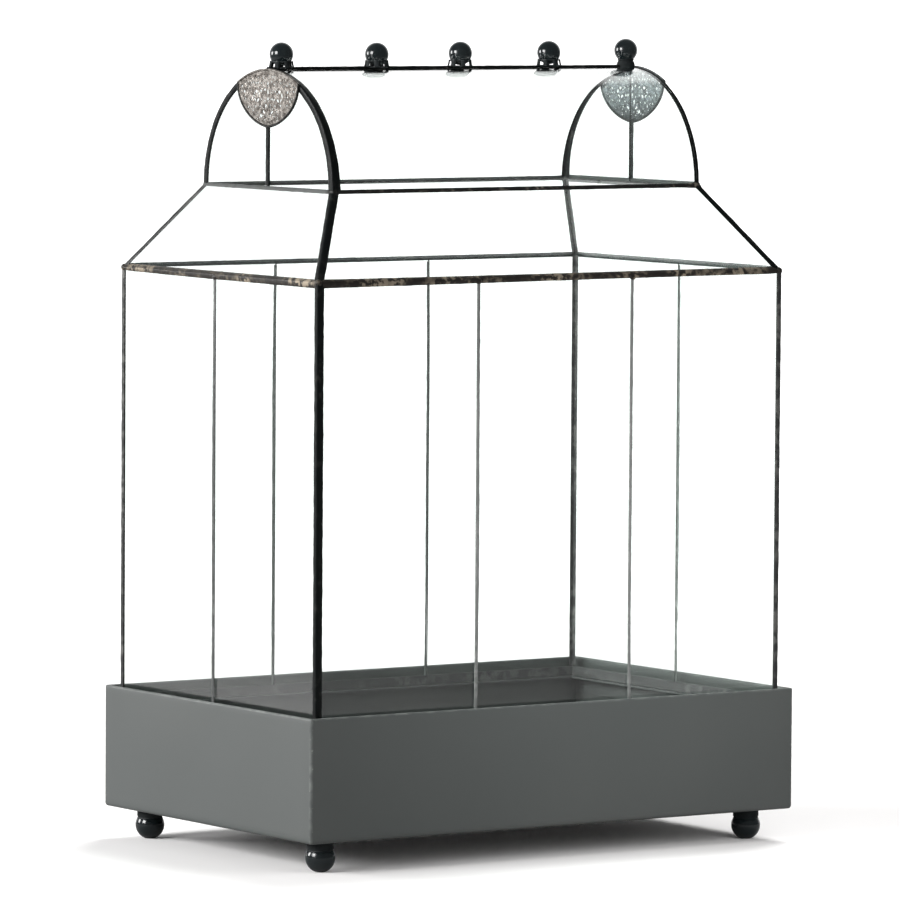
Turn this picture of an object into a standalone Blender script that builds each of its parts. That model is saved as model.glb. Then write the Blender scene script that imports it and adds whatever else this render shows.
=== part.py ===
"""Glass plant case: a soldered glass house that lifts out of a steel tray on ball feet.

X runs along the case, Y across it and Z up, in metres. The origin is on the ground below the
middle of the tray. The glass house hangs on the empty "case_lift", on the line it lifts along.
"""

from math import asin, atan2, cos, hypot, pi, radians, sin, sqrt

import bmesh
import bpy
from mathutils import Matrix, Vector

MM = 0.001

# Fits
SEAT_GAP = 0.3 * MM  # between two pieces that touch

# Tray, folded from sheet steel
TRAY_LENGTH = 369.5 * MM  # outside, along X
TRAY_WIDTH = 241.8 * MM  # outside, along Y
TRAY_DEPTH = 78 * MM  # underside of the floor to the top of the rim
TRAY_SHEET = 1.2 * MM
TRAY_CORNER = 1.8 * MM  # outside bend of the upright corners
TRAY_INNER_CORNER = 0.45 * MM  # inside of that bend
TRAY_FOLD = 2.4 * MM  # outside bend round the floor
HEM_DEPTH = 7 * MM  # height of the folded edge inside the rim
HEM_FOLD = 1.2 * MM  # how far that fold stands in from the wall
RIM_ROUND = 0.6 * MM  # rounding over the top of the fold

# Ledge welded round the inside of the tray, which carries the glass house
LEDGE_DROP = 12 * MM  # top of the ledge below the top of the rim
LEDGE_SHELF = 12 * MM
LEDGE_LEG = 12 * MM
LEDGE_SHEET = 1.2 * MM

# Ball feet and the screws that hold them
FOOT_HEIGHT = 20 * MM  # ground to the underside of the tray
FOOT_BALL = 18.6 * MM
FOOT_PAD = 6 * MM  # flat under the ball
FOOT_COLLAR = 14.2 * MM
FOOT_INSET = 21.3 * MM  # centre of a foot from the tray's outer faces
SCREW_SHANK = 4 * MM
SCREW_LENGTH = 12 * MM  # under the head
SCREW_HEAD = 8 * MM
SCREW_HEAD_HEIGHT = 2.4 * MM
SLOT_WIDTH = 1.2 * MM
SLOT_DEPTH = 1.2 * MM

# Glass house
END_CLEARANCE = 5.9 * MM  # inner face of the hem to the glass of the ends
SIDE_CLEARANCE = 4.9 * MM  # the same at the front and rear
GLASS = 2 * MM
EAVE_ABOVE_RIM = 267.7 * MM
ROOF_RISE = 53.7 * MM  # eave to shoulder
SIDE_RUN = 39.5 * MM  # how far the long slopes lean in
END_RUN = 36.6 * MM  # how far the end slopes lean in
LONG_PANE_COUNT = 3
END_PANE_COUNT = 2
LONG_BAR_SHIFT = 1.5 * MM  # bars set by eye: front and rear ones right of even spacing, seen from outside
END_BAR_SHIFT = -4.2 * MM  # end bars left of the middle

# Soldered strips over the joints of the glass
BEAD = 0.7 * MM  # thickness of a strip
BEAD_ROUND = 0.45 * MM  # rounding of an upright corner
CHANNEL_HEIGHT = 6 * MM  # channel that the wall panes stand in
POST_LEGS = (4.4 * MM, 2.7 * MM, 2.7 * MM, 2.4 * MM)  # width of each corner strip on its walls, run by hand
EAVE_FALL = 2.4 * MM  # eave strip, down the wall
EAVE_RISE = 2.0 * MM  # eave strip, height up the slope
HIP_LEG = 3.0 * MM  # width of a hip strip on each slope
SHOULDER_FALL = 1.3 * MM  # shoulder strip, height down the slope
SHOULDER_RISE = 1.6 * MM  # shoulder strip, up the gable and vault
ARCH_FACE = 3.0 * MM  # arch strip, on the gable
ARCH_WRAP = 4.0 * MM  # arch strip, along the vault
LONG_BAR = 2.3 * MM  # bars of the front and rear
END_BAR = 3.2 * MM  # bars of the ends
GABLE_BAR = 3.3 * MM
GABLE_BEAD = 1.4 * MM  # thickness of a gable bar
RIDGE_WIDTH = 4.0 * MM
RIDGE_HEIGHT = 2.2 * MM

# Ball finials on the ridge
FINIAL_BALL = 14.8 * MM
FINIAL_SKIRT = 16 * MM
FINIAL_NECK = 10.6 * MM
FINIAL_RIM = 0.6 * MM  # upright edge of the skirt
FINIAL_CENTRE = 7.5 * MM  # ball centre above the skirt's underside
FINIAL_INSET = 6.9 * MM  # end finials from the gables
FINIAL_SHIFTS = (2.4 * MM, 7.8 * MM, 5.3 * MM, 7.6 * MM, 1.9 * MM)  # soldered by eye, off even spacing

# Pierced plate over the top of each gable
PLATE_SHEET = 0.8 * MM
PLATE_HALF_WIDTH = 35.5 * MM
PLATE_DEPTH = 26.5 * MM  # corners down to the tip
PLATE_FULLNESS = 2.4  # power in the curve of its sides
PLATE_BORDER = 3.2 * MM
PLATE_HOLE = 2.0 * MM  # radius of a piercing
PLATE_PITCH = 6.2 * MM  # spacing of the piercings

# Facets
ARC_STEPS = 14  # quarter of the vault
BALL_STEPS = 12  # pole to pole
TURN_STEPS = 24  # round a ball
CORNER_STEPS = 3
HOLE_STEPS = 10
SMOOTH_ANGLE = radians(35)
CUT_MARGIN = 2 * MM  # how far a cutter runs past what it cuts

# Heights from the ground
FLOOR_TOP = FOOT_HEIGHT + TRAY_SHEET
RIM_TOP = FOOT_HEIGHT + TRAY_DEPTH
LEDGE_TOP = RIM_TOP - LEDGE_DROP

# Glass house, from the top of the ledge
CASE_X = TRAY_LENGTH / 2 - TRAY_SHEET - HEM_FOLD - END_CLEARANCE  # outer face of the end walls
CASE_Y = TRAY_WIDTH / 2 - TRAY_SHEET - HEM_FOLD - SIDE_CLEARANCE  # outer face of the long walls
SHOULDER_X = CASE_X - END_RUN
VAULT_RADIUS = CASE_Y - SIDE_RUN
CHANNEL_BASE = SEAT_GAP
PANE_BASE = CHANNEL_BASE + BEAD + SEAT_GAP
CHANNEL_TOP = CHANNEL_BASE + CHANNEL_HEIGHT
EAVE_Z = LEDGE_DROP + EAVE_ABOVE_RIM
SHOULDER_Z = EAVE_Z + ROOF_RISE
BAR_BASE = CHANNEL_TOP + SEAT_GAP
BAR_TOP = EAVE_Z - EAVE_FALL - SEAT_GAP
ARCH_BASE = SHOULDER_RISE + SEAT_GAP  # above the shoulder
STRIP_OUT = SEAT_GAP + BEAD  # glass to the outside of a strip
RIDGE_TOP = SHOULDER_Z + VAULT_RADIUS + SEAT_GAP + RIDGE_HEIGHT
PLATE_RADIUS = VAULT_RADIUS + SEAT_GAP
PLATE_X = SHOULDER_X + STRIP_OUT + SEAT_GAP  # back of the plate, on the arch
PLATE_CORNER_Z = sqrt(PLATE_RADIUS**2 - PLATE_HALF_WIDTH**2)  # above the shoulder
PLATE_TIP_Z = PLATE_CORNER_Z - PLATE_DEPTH

END_LEAN = atan2(ROOF_RISE, END_RUN)
SIDE_LEAN = atan2(ROOF_RISE, SIDE_RUN)
CORNERS = ((-1, -1), (1, -1), (1, 1), (-1, 1))
CORNER_NAMES = ("front_left", "front_right", "rear_right", "rear_left")
UP = Vector((0, 0, 1))


# Building blocks


def finish(name, bm, material, parent, location=(0, 0, 0), smooth=False):
    """Make one closed solid from bm, facing out, and hang it on its parent."""
    bmesh.ops.recalc_face_normals(bm, faces=bm.faces)
    mesh = bpy.data.meshes.new(name)
    bm.to_mesh(mesh)
    bm.free()
    if smooth:
        mesh.shade_smooth()
        mesh.set_sharp_from_angle(angle=SMOOTH_ANGLE)
    mesh.materials.append(material)
    return place(name, mesh, parent, location)


def place(name, mesh, parent, location):
    piece = bpy.data.objects.new(name, mesh)
    piece.location = location
    piece.parent = parent
    bpy.context.scene.collection.objects.link(piece)
    return piece


def empty(name, location):
    frame = bpy.data.objects.new(name, None)
    frame.location = location
    bpy.context.scene.collection.objects.link(frame)
    return frame


def material(name, colour, roughness, metallic, transmission=0.0):
    made = bpy.data.materials.new(name)
    made.use_nodes = True
    shader = made.node_tree.nodes["Principled BSDF"]
    shader.inputs["Base Color"].default_value = (*colour, 1)
    shader.inputs["Roughness"].default_value = roughness
    shader.inputs["Metallic"].default_value = metallic
    shader.inputs["Transmission Weight"].default_value = transmission
    return made


def join_loops(loops, closed, bm=None):
    """Skin loops of equally many points. Closed joins the last loop to the first, or both get caps."""
    bm = bm or bmesh.new()
    rows = [[bm.verts.new(point) for point in loop] for loop in loops]
    pairs = list(zip(rows, rows[1:]))
    if closed:
        pairs.append((rows[-1], rows[0]))
    else:
        bm.faces.new(rows[0])
        bm.faces.new(rows[-1])
    for low, high in pairs:
        for i in range(len(low)):
            j = (i + 1) % len(low)
            bm.faces.new((low[i], low[j], high[j], high[i]))
    return bm


def prism(outline, along):
    """Extrude a flat outline of points by a vector."""
    return join_loops([outline, [point + along for point in outline]], closed=False)


def block(size, centre):
    bm = bmesh.new()
    bmesh.ops.create_cube(bm, size=1)
    bmesh.ops.transform(bm, matrix=Matrix.Translation(centre) @ Matrix.Diagonal((*size, 1)), verts=bm.verts)
    return bm


def turned(profile):
    """Turn (radius, z) points about Z. The first and last points lie on the axis."""
    bm = bmesh.new()
    start = bm.verts.new((0, 0, profile[0][1]))
    end = bm.verts.new((0, 0, profile[-1][1]))
    turns = [2 * pi * i / TURN_STEPS for i in range(TURN_STEPS)]
    rings = [[bm.verts.new((r * cos(t), r * sin(t), z)) for t in turns] for r, z in profile[1:-1]]
    for i in range(TURN_STEPS):
        j = (i + 1) % TURN_STEPS
        bm.faces.new((start, rings[0][i], rings[0][j]))
        bm.faces.new((end, rings[-1][i], rings[-1][j]))
        for low, high in zip(rings, rings[1:]):
            bm.faces.new((low[i], low[j], high[j], high[i]))
    return bm


def arc(radius, centre_z, start, stop, steps):
    """Points (radius, z) on a circle about the axis, from one height angle to another."""
    angles = [start + (stop - start) * i / steps for i in range(steps + 1)]
    return [(radius * cos(a), centre_z + radius * sin(a)) for a in angles]


def rounded_loop(half_x, half_y, radius, z):
    points = []
    for k, (sx, sy) in enumerate(CORNERS):
        for i in range(CORNER_STEPS + 1):
            turn = pi + pi / 2 * (k + i / CORNER_STEPS)
            x = sx * (half_x - radius) + radius * cos(turn)
            y = sy * (half_y - radius) + radius * sin(turn)
            points.append(Vector((x, y, z)))
    return points


def rectangle_ring(half_x, half_y, section):
    """Run a closed section of (outset on X, outset on Y, z) round a rectangle, with mitred corners."""
    loops = []
    for sx, sy in CORNERS:
        loops.append([Vector((sx * (half_x + dx), sy * (half_y + dy), z)) for dx, dy, z in section])
    return join_loops(loops, closed=True)


def cutter(name, bm, parent):
    piece = finish(name, bm, TOOL, parent)
    piece.hide_render = True
    piece.display_type = "WIRE"
    return piece


def cut(piece, tool):
    modifier = piece.modifiers.new(tool.name, "BOOLEAN")
    modifier.operation = "DIFFERENCE"
    modifier.solver = "EXACT"
    modifier.object = tool


# Tray, ledge, feet and screws


def make_tray(parent):
    """One shell: up the outside, over the hem, down the inside to the floor."""
    hem_inset = TRAY_SHEET + HEM_FOLD
    hem_base = RIM_TOP - HEM_DEPTH
    levels = []
    for i in range(CORNER_STEPS + 1):
        turn = pi / 2 * i / CORNER_STEPS
        levels.append((TRAY_FOLD * (1 - sin(turn)), FOOT_HEIGHT + TRAY_FOLD * (1 - cos(turn))))
    levels += [
        (0, RIM_TOP - RIM_ROUND),
        (RIM_ROUND, RIM_TOP),
        (hem_inset - RIM_ROUND, RIM_TOP),
        (hem_inset, RIM_TOP - RIM_ROUND),
        (hem_inset, hem_base),
        (TRAY_SHEET, hem_base),
        (TRAY_SHEET, FLOOR_TOP),
    ]
    loops = []
    for inset, z in levels:
        radius = max(TRAY_CORNER - inset, TRAY_INNER_CORNER)
        loops.append(rounded_loop(TRAY_LENGTH / 2 - inset, TRAY_WIDTH / 2 - inset, radius, z))
    tray = finish("tray", join_loops(loops, closed=False), TRAY_PAINT, parent)
    holes = bmesh.new()
    for x, y in foot_places():
        bmesh.ops.create_cone(
            holes,
            cap_ends=True,
            segments=TURN_STEPS,
            radius1=SCREW_SHANK / 2 + SEAT_GAP,
            radius2=SCREW_SHANK / 2 + SEAT_GAP,
            depth=TRAY_SHEET + 2 * CUT_MARGIN,
            matrix=Matrix.Translation((x, y, FOOT_HEIGHT + TRAY_SHEET / 2)),
        )
    cut(tray, cutter("tray_screw_holes", holes, parent))


def make_ledge(parent):
    """Angle strip: an upright leg on the wall and a shelf under the glass house."""
    outside = -TRAY_SHEET - SEAT_GAP
    inside = outside - LEDGE_SHELF
    leg_face = outside - LEDGE_SHEET
    shelf_under = LEDGE_TOP - LEDGE_SHEET
    leg_base = LEDGE_TOP - LEDGE_LEG
    corners = (
        (outside, leg_base),
        (outside, LEDGE_TOP),
        (inside, LEDGE_TOP),
        (inside, shelf_under),
        (leg_face, shelf_under),
        (leg_face, leg_base),
    )
    section = [(outset, outset, z) for outset, z in corners]
    finish("seat_ledge", rectangle_ring(TRAY_LENGTH / 2, TRAY_WIDTH / 2, section), TRAY_PAINT, parent)


def foot_places():
    x = TRAY_LENGTH / 2 - FOOT_INSET
    y = TRAY_WIDTH / 2 - FOOT_INSET
    return [(sx * x, sy * y) for sx, sy in CORNERS]


def make_feet(parent):
    """Ball with a flat pad, a collar under the tray and a blind hole for its screw."""
    ball = FOOT_BALL / 2
    pad = FOOT_PAD / 2
    collar = FOOT_COLLAR / 2
    hole = SCREW_SHANK / 2 + SEAT_GAP
    centre = sqrt(ball**2 - pad**2)
    top = FOOT_HEIGHT - SEAT_GAP
    hole_base = FLOOR_TOP - SCREW_LENGTH - SEAT_GAP
    low = -asin(centre / ball)
    high = pi / 2 - asin(collar / ball)
    profile = [(0, 0)]
    profile += arc(ball, centre, low, high, BALL_STEPS)
    profile += [(collar, top), (hole, top), (hole, hole_base), (0, hole_base)]
    for (x, y), side in zip(foot_places(), CORNER_NAMES):
        finish(f"ball_foot_{side}", turned(profile), FOOT_BLACK, parent, (x, y, 0), smooth=True)


def make_screws(parent):
    """Domed screws, driven from inside the tray, with a slot across the head."""
    shank = SCREW_SHANK / 2
    head = SCREW_HEAD / 2
    tip = FLOOR_TOP + SEAT_GAP - SCREW_LENGTH
    seat = FLOOR_TOP + SEAT_GAP
    edge = seat + SCREW_HEAD_HEIGHT / 3
    top = seat + SCREW_HEAD_HEIGHT
    dome = (head**2 + (top - edge) ** 2) / (2 * (top - edge))
    profile = [(0, tip), (shank, tip), (shank, seat), (head, seat)]
    profile += arc(dome, top - dome, pi / 2 - asin(head / dome), pi / 2, BALL_STEPS // 2)[:-1]
    profile += [(0, top)]
    for (x, y), side in zip(foot_places(), CORNER_NAMES):
        screw = finish(f"foot_screw_{side}", turned(profile), STEEL, parent, (x, y, 0), smooth=True)
        size = Vector((SCREW_HEAD + CUT_MARGIN, SLOT_WIDTH, SLOT_DEPTH + CUT_MARGIN))
        slot = block(size, Vector((x, y, top - SLOT_DEPTH + size.z / 2)))
        cut(screw, cutter(f"screw_slot_{side}", slot, parent))


# Panes: each lies on an outer plane and is cut by the planes of its edges, in order round it


def plane(normal, point):
    direction = Vector(normal).normalized()
    return direction, direction.dot(Vector(point))


def meet(a, b, c):
    return Matrix((a[0], b[0], c[0])).inverted() @ Vector((a[1], b[1], c[1]))


def mitre(normal, neighbour, point):
    """Edge plane that halves the corner between two panes and leaves half the gap on this one."""
    direction = (normal - neighbour).normalized()
    return direction, direction.dot(point) + SEAT_GAP / 2


def level(z):
    return plane(UP, (0, 0, z))


def make_pane(name, face, edges, parent):
    inner = (face[0], face[1] - GLASS)
    loops = []
    for layer in (face, inner):
        loops.append([meet(layer, edges[i], edges[(i + 1) % len(edges)]) for i in range(len(edges))])
    finish(name, join_loops(loops, closed=False), CLEAR_GLASS, parent)


def case_sides():
    """Name, outward normal, direction to the right seen from outside, half length, and half depth."""
    return (
        ("front", Vector((0, -1, 0)), Vector((1, 0, 0)), CASE_X, CASE_Y),
        ("right", Vector((1, 0, 0)), Vector((0, 1, 0)), CASE_Y, CASE_X),
        ("rear", Vector((0, 1, 0)), Vector((-1, 0, 0)), CASE_X, CASE_Y),
        ("left", Vector((-1, 0, 0)), Vector((0, -1, 0)), CASE_Y, CASE_X),
    )


def wall_seams(name, half):
    """Where the panes of one wall meet, from its middle, to the right seen from outside."""
    on_end = name in ("left", "right")
    count = END_PANE_COUNT if on_end else LONG_PANE_COUNT
    shift = END_BAR_SHIFT if on_end else LONG_BAR_SHIFT
    return [half * (2 * k / count - 1) + shift for k in range(1, count)]


def make_walls(parent):
    for name, out, right, half, depth in case_sides():
        face = plane(out, out * depth)
        left_end = mitre(out, -right, out * depth - right * half)
        right_end = mitre(out, right, out * depth + right * half)
        seams = wall_seams(name, half)
        starts = [left_end] + [plane(right, right * (s + SEAT_GAP / 2)) for s in seams]
        stops = [plane(right, right * (s - SEAT_GAP / 2)) for s in seams] + [right_end]
        for k, (start, stop) in enumerate(zip(starts, stops), 1):
            edges = (start, level(PANE_BASE), stop, level(EAVE_Z - SEAT_GAP / 2))
            make_pane(f"{name}_pane_{k}", face, edges, parent)
        for k, seam in enumerate(seams, 1):
            width = END_BAR if name in ("left", "right") else LONG_BAR
            make_wall_bar(f"{name}_bar_{k}", out, right, depth, seam, width, parent)


def make_wall_bar(name, out, right, depth, seam, width, parent):
    """Flat strip over the joint between two wall panes."""
    height = BAR_TOP - BAR_BASE
    size = Vector([abs(o) * BEAD + abs(r) * width for o, r in zip(out, right)])
    size.z = height
    middle = out * (depth + SEAT_GAP + BEAD / 2) + right * seam
    finish(name, block(size, Vector((0, 0, height / 2))), SOLDER, parent, middle + UP * BAR_BASE)


def make_slopes(parent):
    for name, out, right, half, depth in case_sides():
        on_end = name in ("left", "right")
        lean, neighbour_lean = (END_LEAN, SIDE_LEAN) if on_end else (SIDE_LEAN, END_LEAN)
        normal = out * sin(lean) + UP * cos(lean)
        eave = out * depth + UP * EAVE_Z
        hips = []
        for side in (-right, right):
            neighbour = side * sin(neighbour_lean) + UP * cos(neighbour_lean)
            hips.append(mitre(normal, neighbour, eave + side * half))
        edges = (hips[0], level(EAVE_Z + SEAT_GAP / 2), hips[1], level(SHOULDER_Z - SEAT_GAP / 2))
        make_pane(f"{name}_slope_pane", plane(normal, eave), edges, parent)


def vault_arc(radius, start_z, stop_y, steps):
    """Points (y, z) of a quarter circle about the middle of the shoulder, cut level and upright."""
    start = asin(start_z / radius)
    stop = pi / 2 - asin(stop_y / radius)
    angles = [start + (stop - start) * i / steps for i in range(steps + 1)]
    return [(radius * cos(a), SHOULDER_Z + radius * sin(a)) for a in angles]


def make_vault(parent):
    """Two bent panes that meet under the ridge."""
    half_gap = SEAT_GAP / 2
    outer = vault_arc(VAULT_RADIUS, half_gap, half_gap, ARC_STEPS)
    inner = vault_arc(VAULT_RADIUS - GLASS, half_gap, half_gap, ARC_STEPS)
    for name, side in (("front", -1), ("rear", 1)):
        outline = [Vector((-SHOULDER_X, side * y, z)) for y, z in outer + inner[::-1]]
        bm = prism(outline, Vector((2 * SHOULDER_X, 0, 0)))
        finish(f"{name}_vault_pane", bm, CLEAR_GLASS, parent, smooth=True)


def make_gables(parent):
    """Quarter-round panes inside the ends of the vault, with a bar over the joint between them."""
    half_gap = SEAT_GAP / 2
    rim = vault_arc(VAULT_RADIUS - GLASS - SEAT_GAP, half_gap, half_gap, ARC_STEPS)
    outline = [(half_gap, SHOULDER_Z + half_gap)] + rim
    bar_top = PLATE_TIP_Z - SEAT_GAP
    bar_size = Vector((GABLE_BEAD, GABLE_BAR, bar_top - ARCH_BASE))
    for name, end in (("left", -1), ("right", 1)):
        for half, side in (("front", -1), ("rear", 1)):
            points = [Vector((end * SHOULDER_X, side * y, z)) for y, z in outline]
            bm = prism(points, Vector((-end * GLASS, 0, 0)))
            finish(f"{name}_gable_pane_{half}", bm, CLEAR_GLASS, parent)
        middle = Vector((end * (SHOULDER_X + SEAT_GAP + GABLE_BEAD / 2), 0, SHOULDER_Z + ARCH_BASE))
        bar = block(bar_size, Vector((0, 0, bar_size.z / 2)))
        finish(f"{name}_gable_bar", bar, SOLDER, parent, middle)


# Strips over the corners of the glass house


def make_channel(parent):
    """Channel round the foot of the walls, which the wall panes stand in."""
    inner = -GLASS - SEAT_GAP
    corners = (
        (STRIP_OUT, CHANNEL_BASE),
        (STRIP_OUT, CHANNEL_TOP),
        (SEAT_GAP, CHANNEL_TOP),
        (SEAT_GAP, CHANNEL_BASE + BEAD),
        (inner, CHANNEL_BASE + BEAD),
        (inner, CHANNEL_TOP),
        (inner - BEAD, CHANNEL_TOP),
        (inner - BEAD, CHANNEL_BASE),
    )
    section = [(outset, outset, z) for outset, z in corners]
    finish("base_channel", rectangle_ring(CASE_X, CASE_Y, section), SOLDER, parent)


def slope_outset(drop, offset, lean):
    """How far a face parallel to a slope stands out, a drop below the slope's top edge."""
    return drop * cos(lean) / sin(lean) + offset / sin(lean)


def slope_point(drop, offset, z):
    """Corner of a section on the slopes: outset on X, outset on Y, and z."""
    return slope_outset(drop, offset, END_LEAN), slope_outset(drop, offset, SIDE_LEAN), z


def corner_lift(offset):
    """Height of the corner of an offset wall and slope above the corner of the glass."""
    return max(offset * (1 - sin(lean)) / cos(lean) for lean in (END_LEAN, SIDE_LEAN))


def make_eave(parent):
    section = []
    for offset, flip in ((SEAT_GAP, False), (STRIP_OUT, True)):
        leg = [
            (offset, offset, EAVE_Z - EAVE_FALL),
            (offset, offset, EAVE_Z + corner_lift(offset)),
            slope_point(-EAVE_RISE, offset, EAVE_Z + EAVE_RISE),
        ]
        section += leg[::-1] if flip else leg
    finish("eave_frame", rectangle_ring(CASE_X, CASE_Y, section), SOLDER, parent)


def make_shoulder(parent):
    section = []
    for offset, flip in ((SEAT_GAP, False), (STRIP_OUT, True)):
        leg = [
            slope_point(SHOULDER_FALL, offset, SHOULDER_Z - SHOULDER_FALL),
            (offset, offset, SHOULDER_Z + corner_lift(offset)),
            (offset, offset, SHOULDER_Z + SHOULDER_RISE),
        ]
        section += leg[::-1] if flip else leg
    finish("shoulder_frame", rectangle_ring(SHOULDER_X, VAULT_RADIUS, section), SOLDER, parent)


def corner_section(x, y, z, sx, sy, leg, lean_x, lean_y):
    """Level cut through an angle strip whose legs lie on two faces that lean in."""
    gap_x, out_x = SEAT_GAP / sin(lean_x), STRIP_OUT / sin(lean_x)
    gap_y, out_y = SEAT_GAP / sin(lean_y), STRIP_OUT / sin(lean_y)
    corners = (
        (x - leg, y + gap_y),
        (x + gap_x, y + gap_y),
        (x + gap_x, y - leg),
        (x + out_x, y - leg),
        (x + out_x, y + out_y - BEAD_ROUND),
        (x + out_x - BEAD_ROUND, y + out_y),
        (x - leg, y + out_y),
    )
    return [Vector((sx * px, sy * py, z)) for px, py in corners]


def make_posts_and_hips(parent):
    upright = pi / 2
    hip_low, hip_high = EAVE_RISE + SEAT_GAP, ROOF_RISE - SHOULDER_FALL - SEAT_GAP
    for (sx, sy), side, leg in zip(CORNERS, CORNER_NAMES, POST_LEGS):
        post = []
        for z in (BAR_BASE, BAR_TOP):
            post.append(corner_section(CASE_X, CASE_Y, z, sx, sy, leg, upright, upright))
        finish(f"corner_post_{side}", join_loops(post, closed=False), SOLDER, parent)
        hip = []
        for rise in (hip_low, hip_high):
            x = CASE_X - END_RUN * rise / ROOF_RISE
            y = CASE_Y - SIDE_RUN * rise / ROOF_RISE
            hip.append(corner_section(x, y, EAVE_Z + rise, sx, sy, HIP_LEG, END_LEAN, SIDE_LEAN))
        finish(f"hip_strip_{side}", join_loops(hip, closed=False), SOLDER, parent)


def make_arches(parent):
    """Angle strip bent over each end of the vault, from shoulder to shoulder."""
    section = (
        (SHOULDER_X + STRIP_OUT, VAULT_RADIUS - ARCH_FACE),
        (SHOULDER_X + STRIP_OUT, VAULT_RADIUS + STRIP_OUT),
        (SHOULDER_X - ARCH_WRAP, VAULT_RADIUS + STRIP_OUT),
        (SHOULDER_X - ARCH_WRAP, VAULT_RADIUS + SEAT_GAP),
        (SHOULDER_X + SEAT_GAP, VAULT_RADIUS + SEAT_GAP),
        (SHOULDER_X + SEAT_GAP, VAULT_RADIUS - ARCH_FACE),
    )
    start = asin(ARCH_BASE / (VAULT_RADIUS - ARCH_FACE))
    steps = 2 * ARC_STEPS
    angles = [start + (pi - 2 * start) * i / steps for i in range(steps + 1)]
    for name, end in (("left", -1), ("right", 1)):
        loops = []
        for a in angles:
            loops.append([Vector((end * x, r * cos(a), SHOULDER_Z + r * sin(a))) for x, r in section])
        finish(f"{name}_arch", join_loops(loops, closed=False), SOLDER, parent, smooth=True)


def make_ridge(parent):
    """Bar over the joint of the vault panes, stepped up at its ends to pass over the arches."""
    top = RIDGE_TOP
    low = SHOULDER_Z + VAULT_RADIUS + SEAT_GAP
    over_arch = low + BEAD + SEAT_GAP
    step = SHOULDER_X - ARCH_WRAP - SEAT_GAP
    end = SHOULDER_X + STRIP_OUT
    half = [(step, low), (step, over_arch), (end, over_arch), (end, top)]
    corners = half + [(-x, z) for x, z in half[::-1]]
    outline = [Vector((x, -RIDGE_WIDTH / 2, z)) for x, z in corners]
    finish("ridge_bar", prism(outline, Vector((0, RIDGE_WIDTH, 0))), SOLDER, parent)


# Ornaments


def make_finials(parent):
    """Ball on a flared skirt, soldered to the ridge."""
    ball = FINIAL_BALL / 2
    neck = FINIAL_NECK / 2
    skirt = FINIAL_SKIRT / 2
    neck_angle = -pi / 2 + asin(neck / ball)
    neck_z = FINIAL_CENTRE + ball * sin(neck_angle)
    waist = ((neck * 2 + skirt) / 3, (neck_z * 2 + FINIAL_RIM) / 3)
    profile = [(0, 0), (skirt, 0), (skirt, FINIAL_RIM), waist]
    profile += arc(ball, FINIAL_CENTRE, neck_angle, pi / 2, BALL_STEPS)[:-1]
    profile += [(0, FINIAL_CENTRE + ball)]
    span = 2 * (SHOULDER_X - FINIAL_INSET)
    for k, shift in enumerate(FINIAL_SHIFTS):
        x = span * (k / (len(FINIAL_SHIFTS) - 1) - 0.5) + shift
        base = (x, 0, RIDGE_TOP + SEAT_GAP)
        finish(f"finial_{k + 1}", turned(profile), FINIAL_BLACK, parent, base, smooth=True)


def plate_outline():
    """Points (y, z above the shoulder): the arch above, full sides down to a blunt tip below."""
    corner = asin(PLATE_HALF_WIDTH / PLATE_RADIUS)
    steps = 2 * ARC_STEPS
    top = [corner - 2 * corner * i / steps for i in range(steps + 1)]
    points = [(PLATE_RADIUS * sin(a), PLATE_RADIUS * cos(a)) for a in top]
    for i in range(1 - ARC_STEPS, ARC_STEPS):
        fall = 1 - abs(i) / ARC_STEPS
        side = 1 if i > 0 else -1
        points.append((side * plate_half_width(fall), PLATE_CORNER_Z - PLATE_DEPTH * fall))
    return points


def plate_half_width(fall):
    """Half the plate's width, at a share of the way from its corners down to its tip."""
    return PLATE_HALF_WIDTH * (1 - max(fall, 0) ** PLATE_FULLNESS)


def plate_holes():
    """Piercings on a staggered grid, clear of the plain border."""
    holes = []
    edge = PLATE_BORDER + PLATE_HOLE
    outline = [Vector(point) for point in plate_outline()]
    row_step = PLATE_PITCH * sin(pi / 3)
    rows = int((PLATE_RADIUS - PLATE_TIP_Z) / row_step) + 1
    columns = int(PLATE_HALF_WIDTH / PLATE_PITCH) + 1
    for row in range(rows):
        z = PLATE_TIP_Z + edge + row * row_step
        for column in range(-columns, columns + 1):
            y = (column + row % 2 / 2) * PLATE_PITCH
            half_width = plate_half_width((PLATE_CORNER_Z - z) / PLATE_DEPTH)
            inside = abs(y) < half_width and hypot(y, z) < PLATE_RADIUS
            if inside and min((Vector((y, z)) - point).length for point in outline) >= edge:
                holes.append((y, z))
    return holes


def make_plates(parent):
    for name, end in (("left", -1), ("right", 1)):
        base = Vector((end * PLATE_X, 0, SHOULDER_Z))
        outline = [Vector((0, y, z)) for y, z in plate_outline()]
        bm = prism(outline, Vector((end * PLATE_SHEET, 0, 0)))
        plate = finish(f"{name}_filigree", bm, FILIGREE, parent, base)
        holes = bmesh.new()
        for y, z in plate_holes():
            bmesh.ops.create_cone(
                holes,
                cap_ends=True,
                segments=HOLE_STEPS,
                radius1=PLATE_HOLE,
                radius2=PLATE_HOLE,
                depth=PLATE_SHEET + 2 * CUT_MARGIN,
                matrix=Matrix.Translation(base + Vector((end * PLATE_SHEET / 2, y, z)))
                @ Matrix.Rotation(pi / 2, 4, "Y"),
            )
        cut(plate, cutter(f"{name}_piercings", holes, parent))


for old in list(bpy.data.objects):
    bpy.data.objects.remove(old, do_unlink=True)

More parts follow.
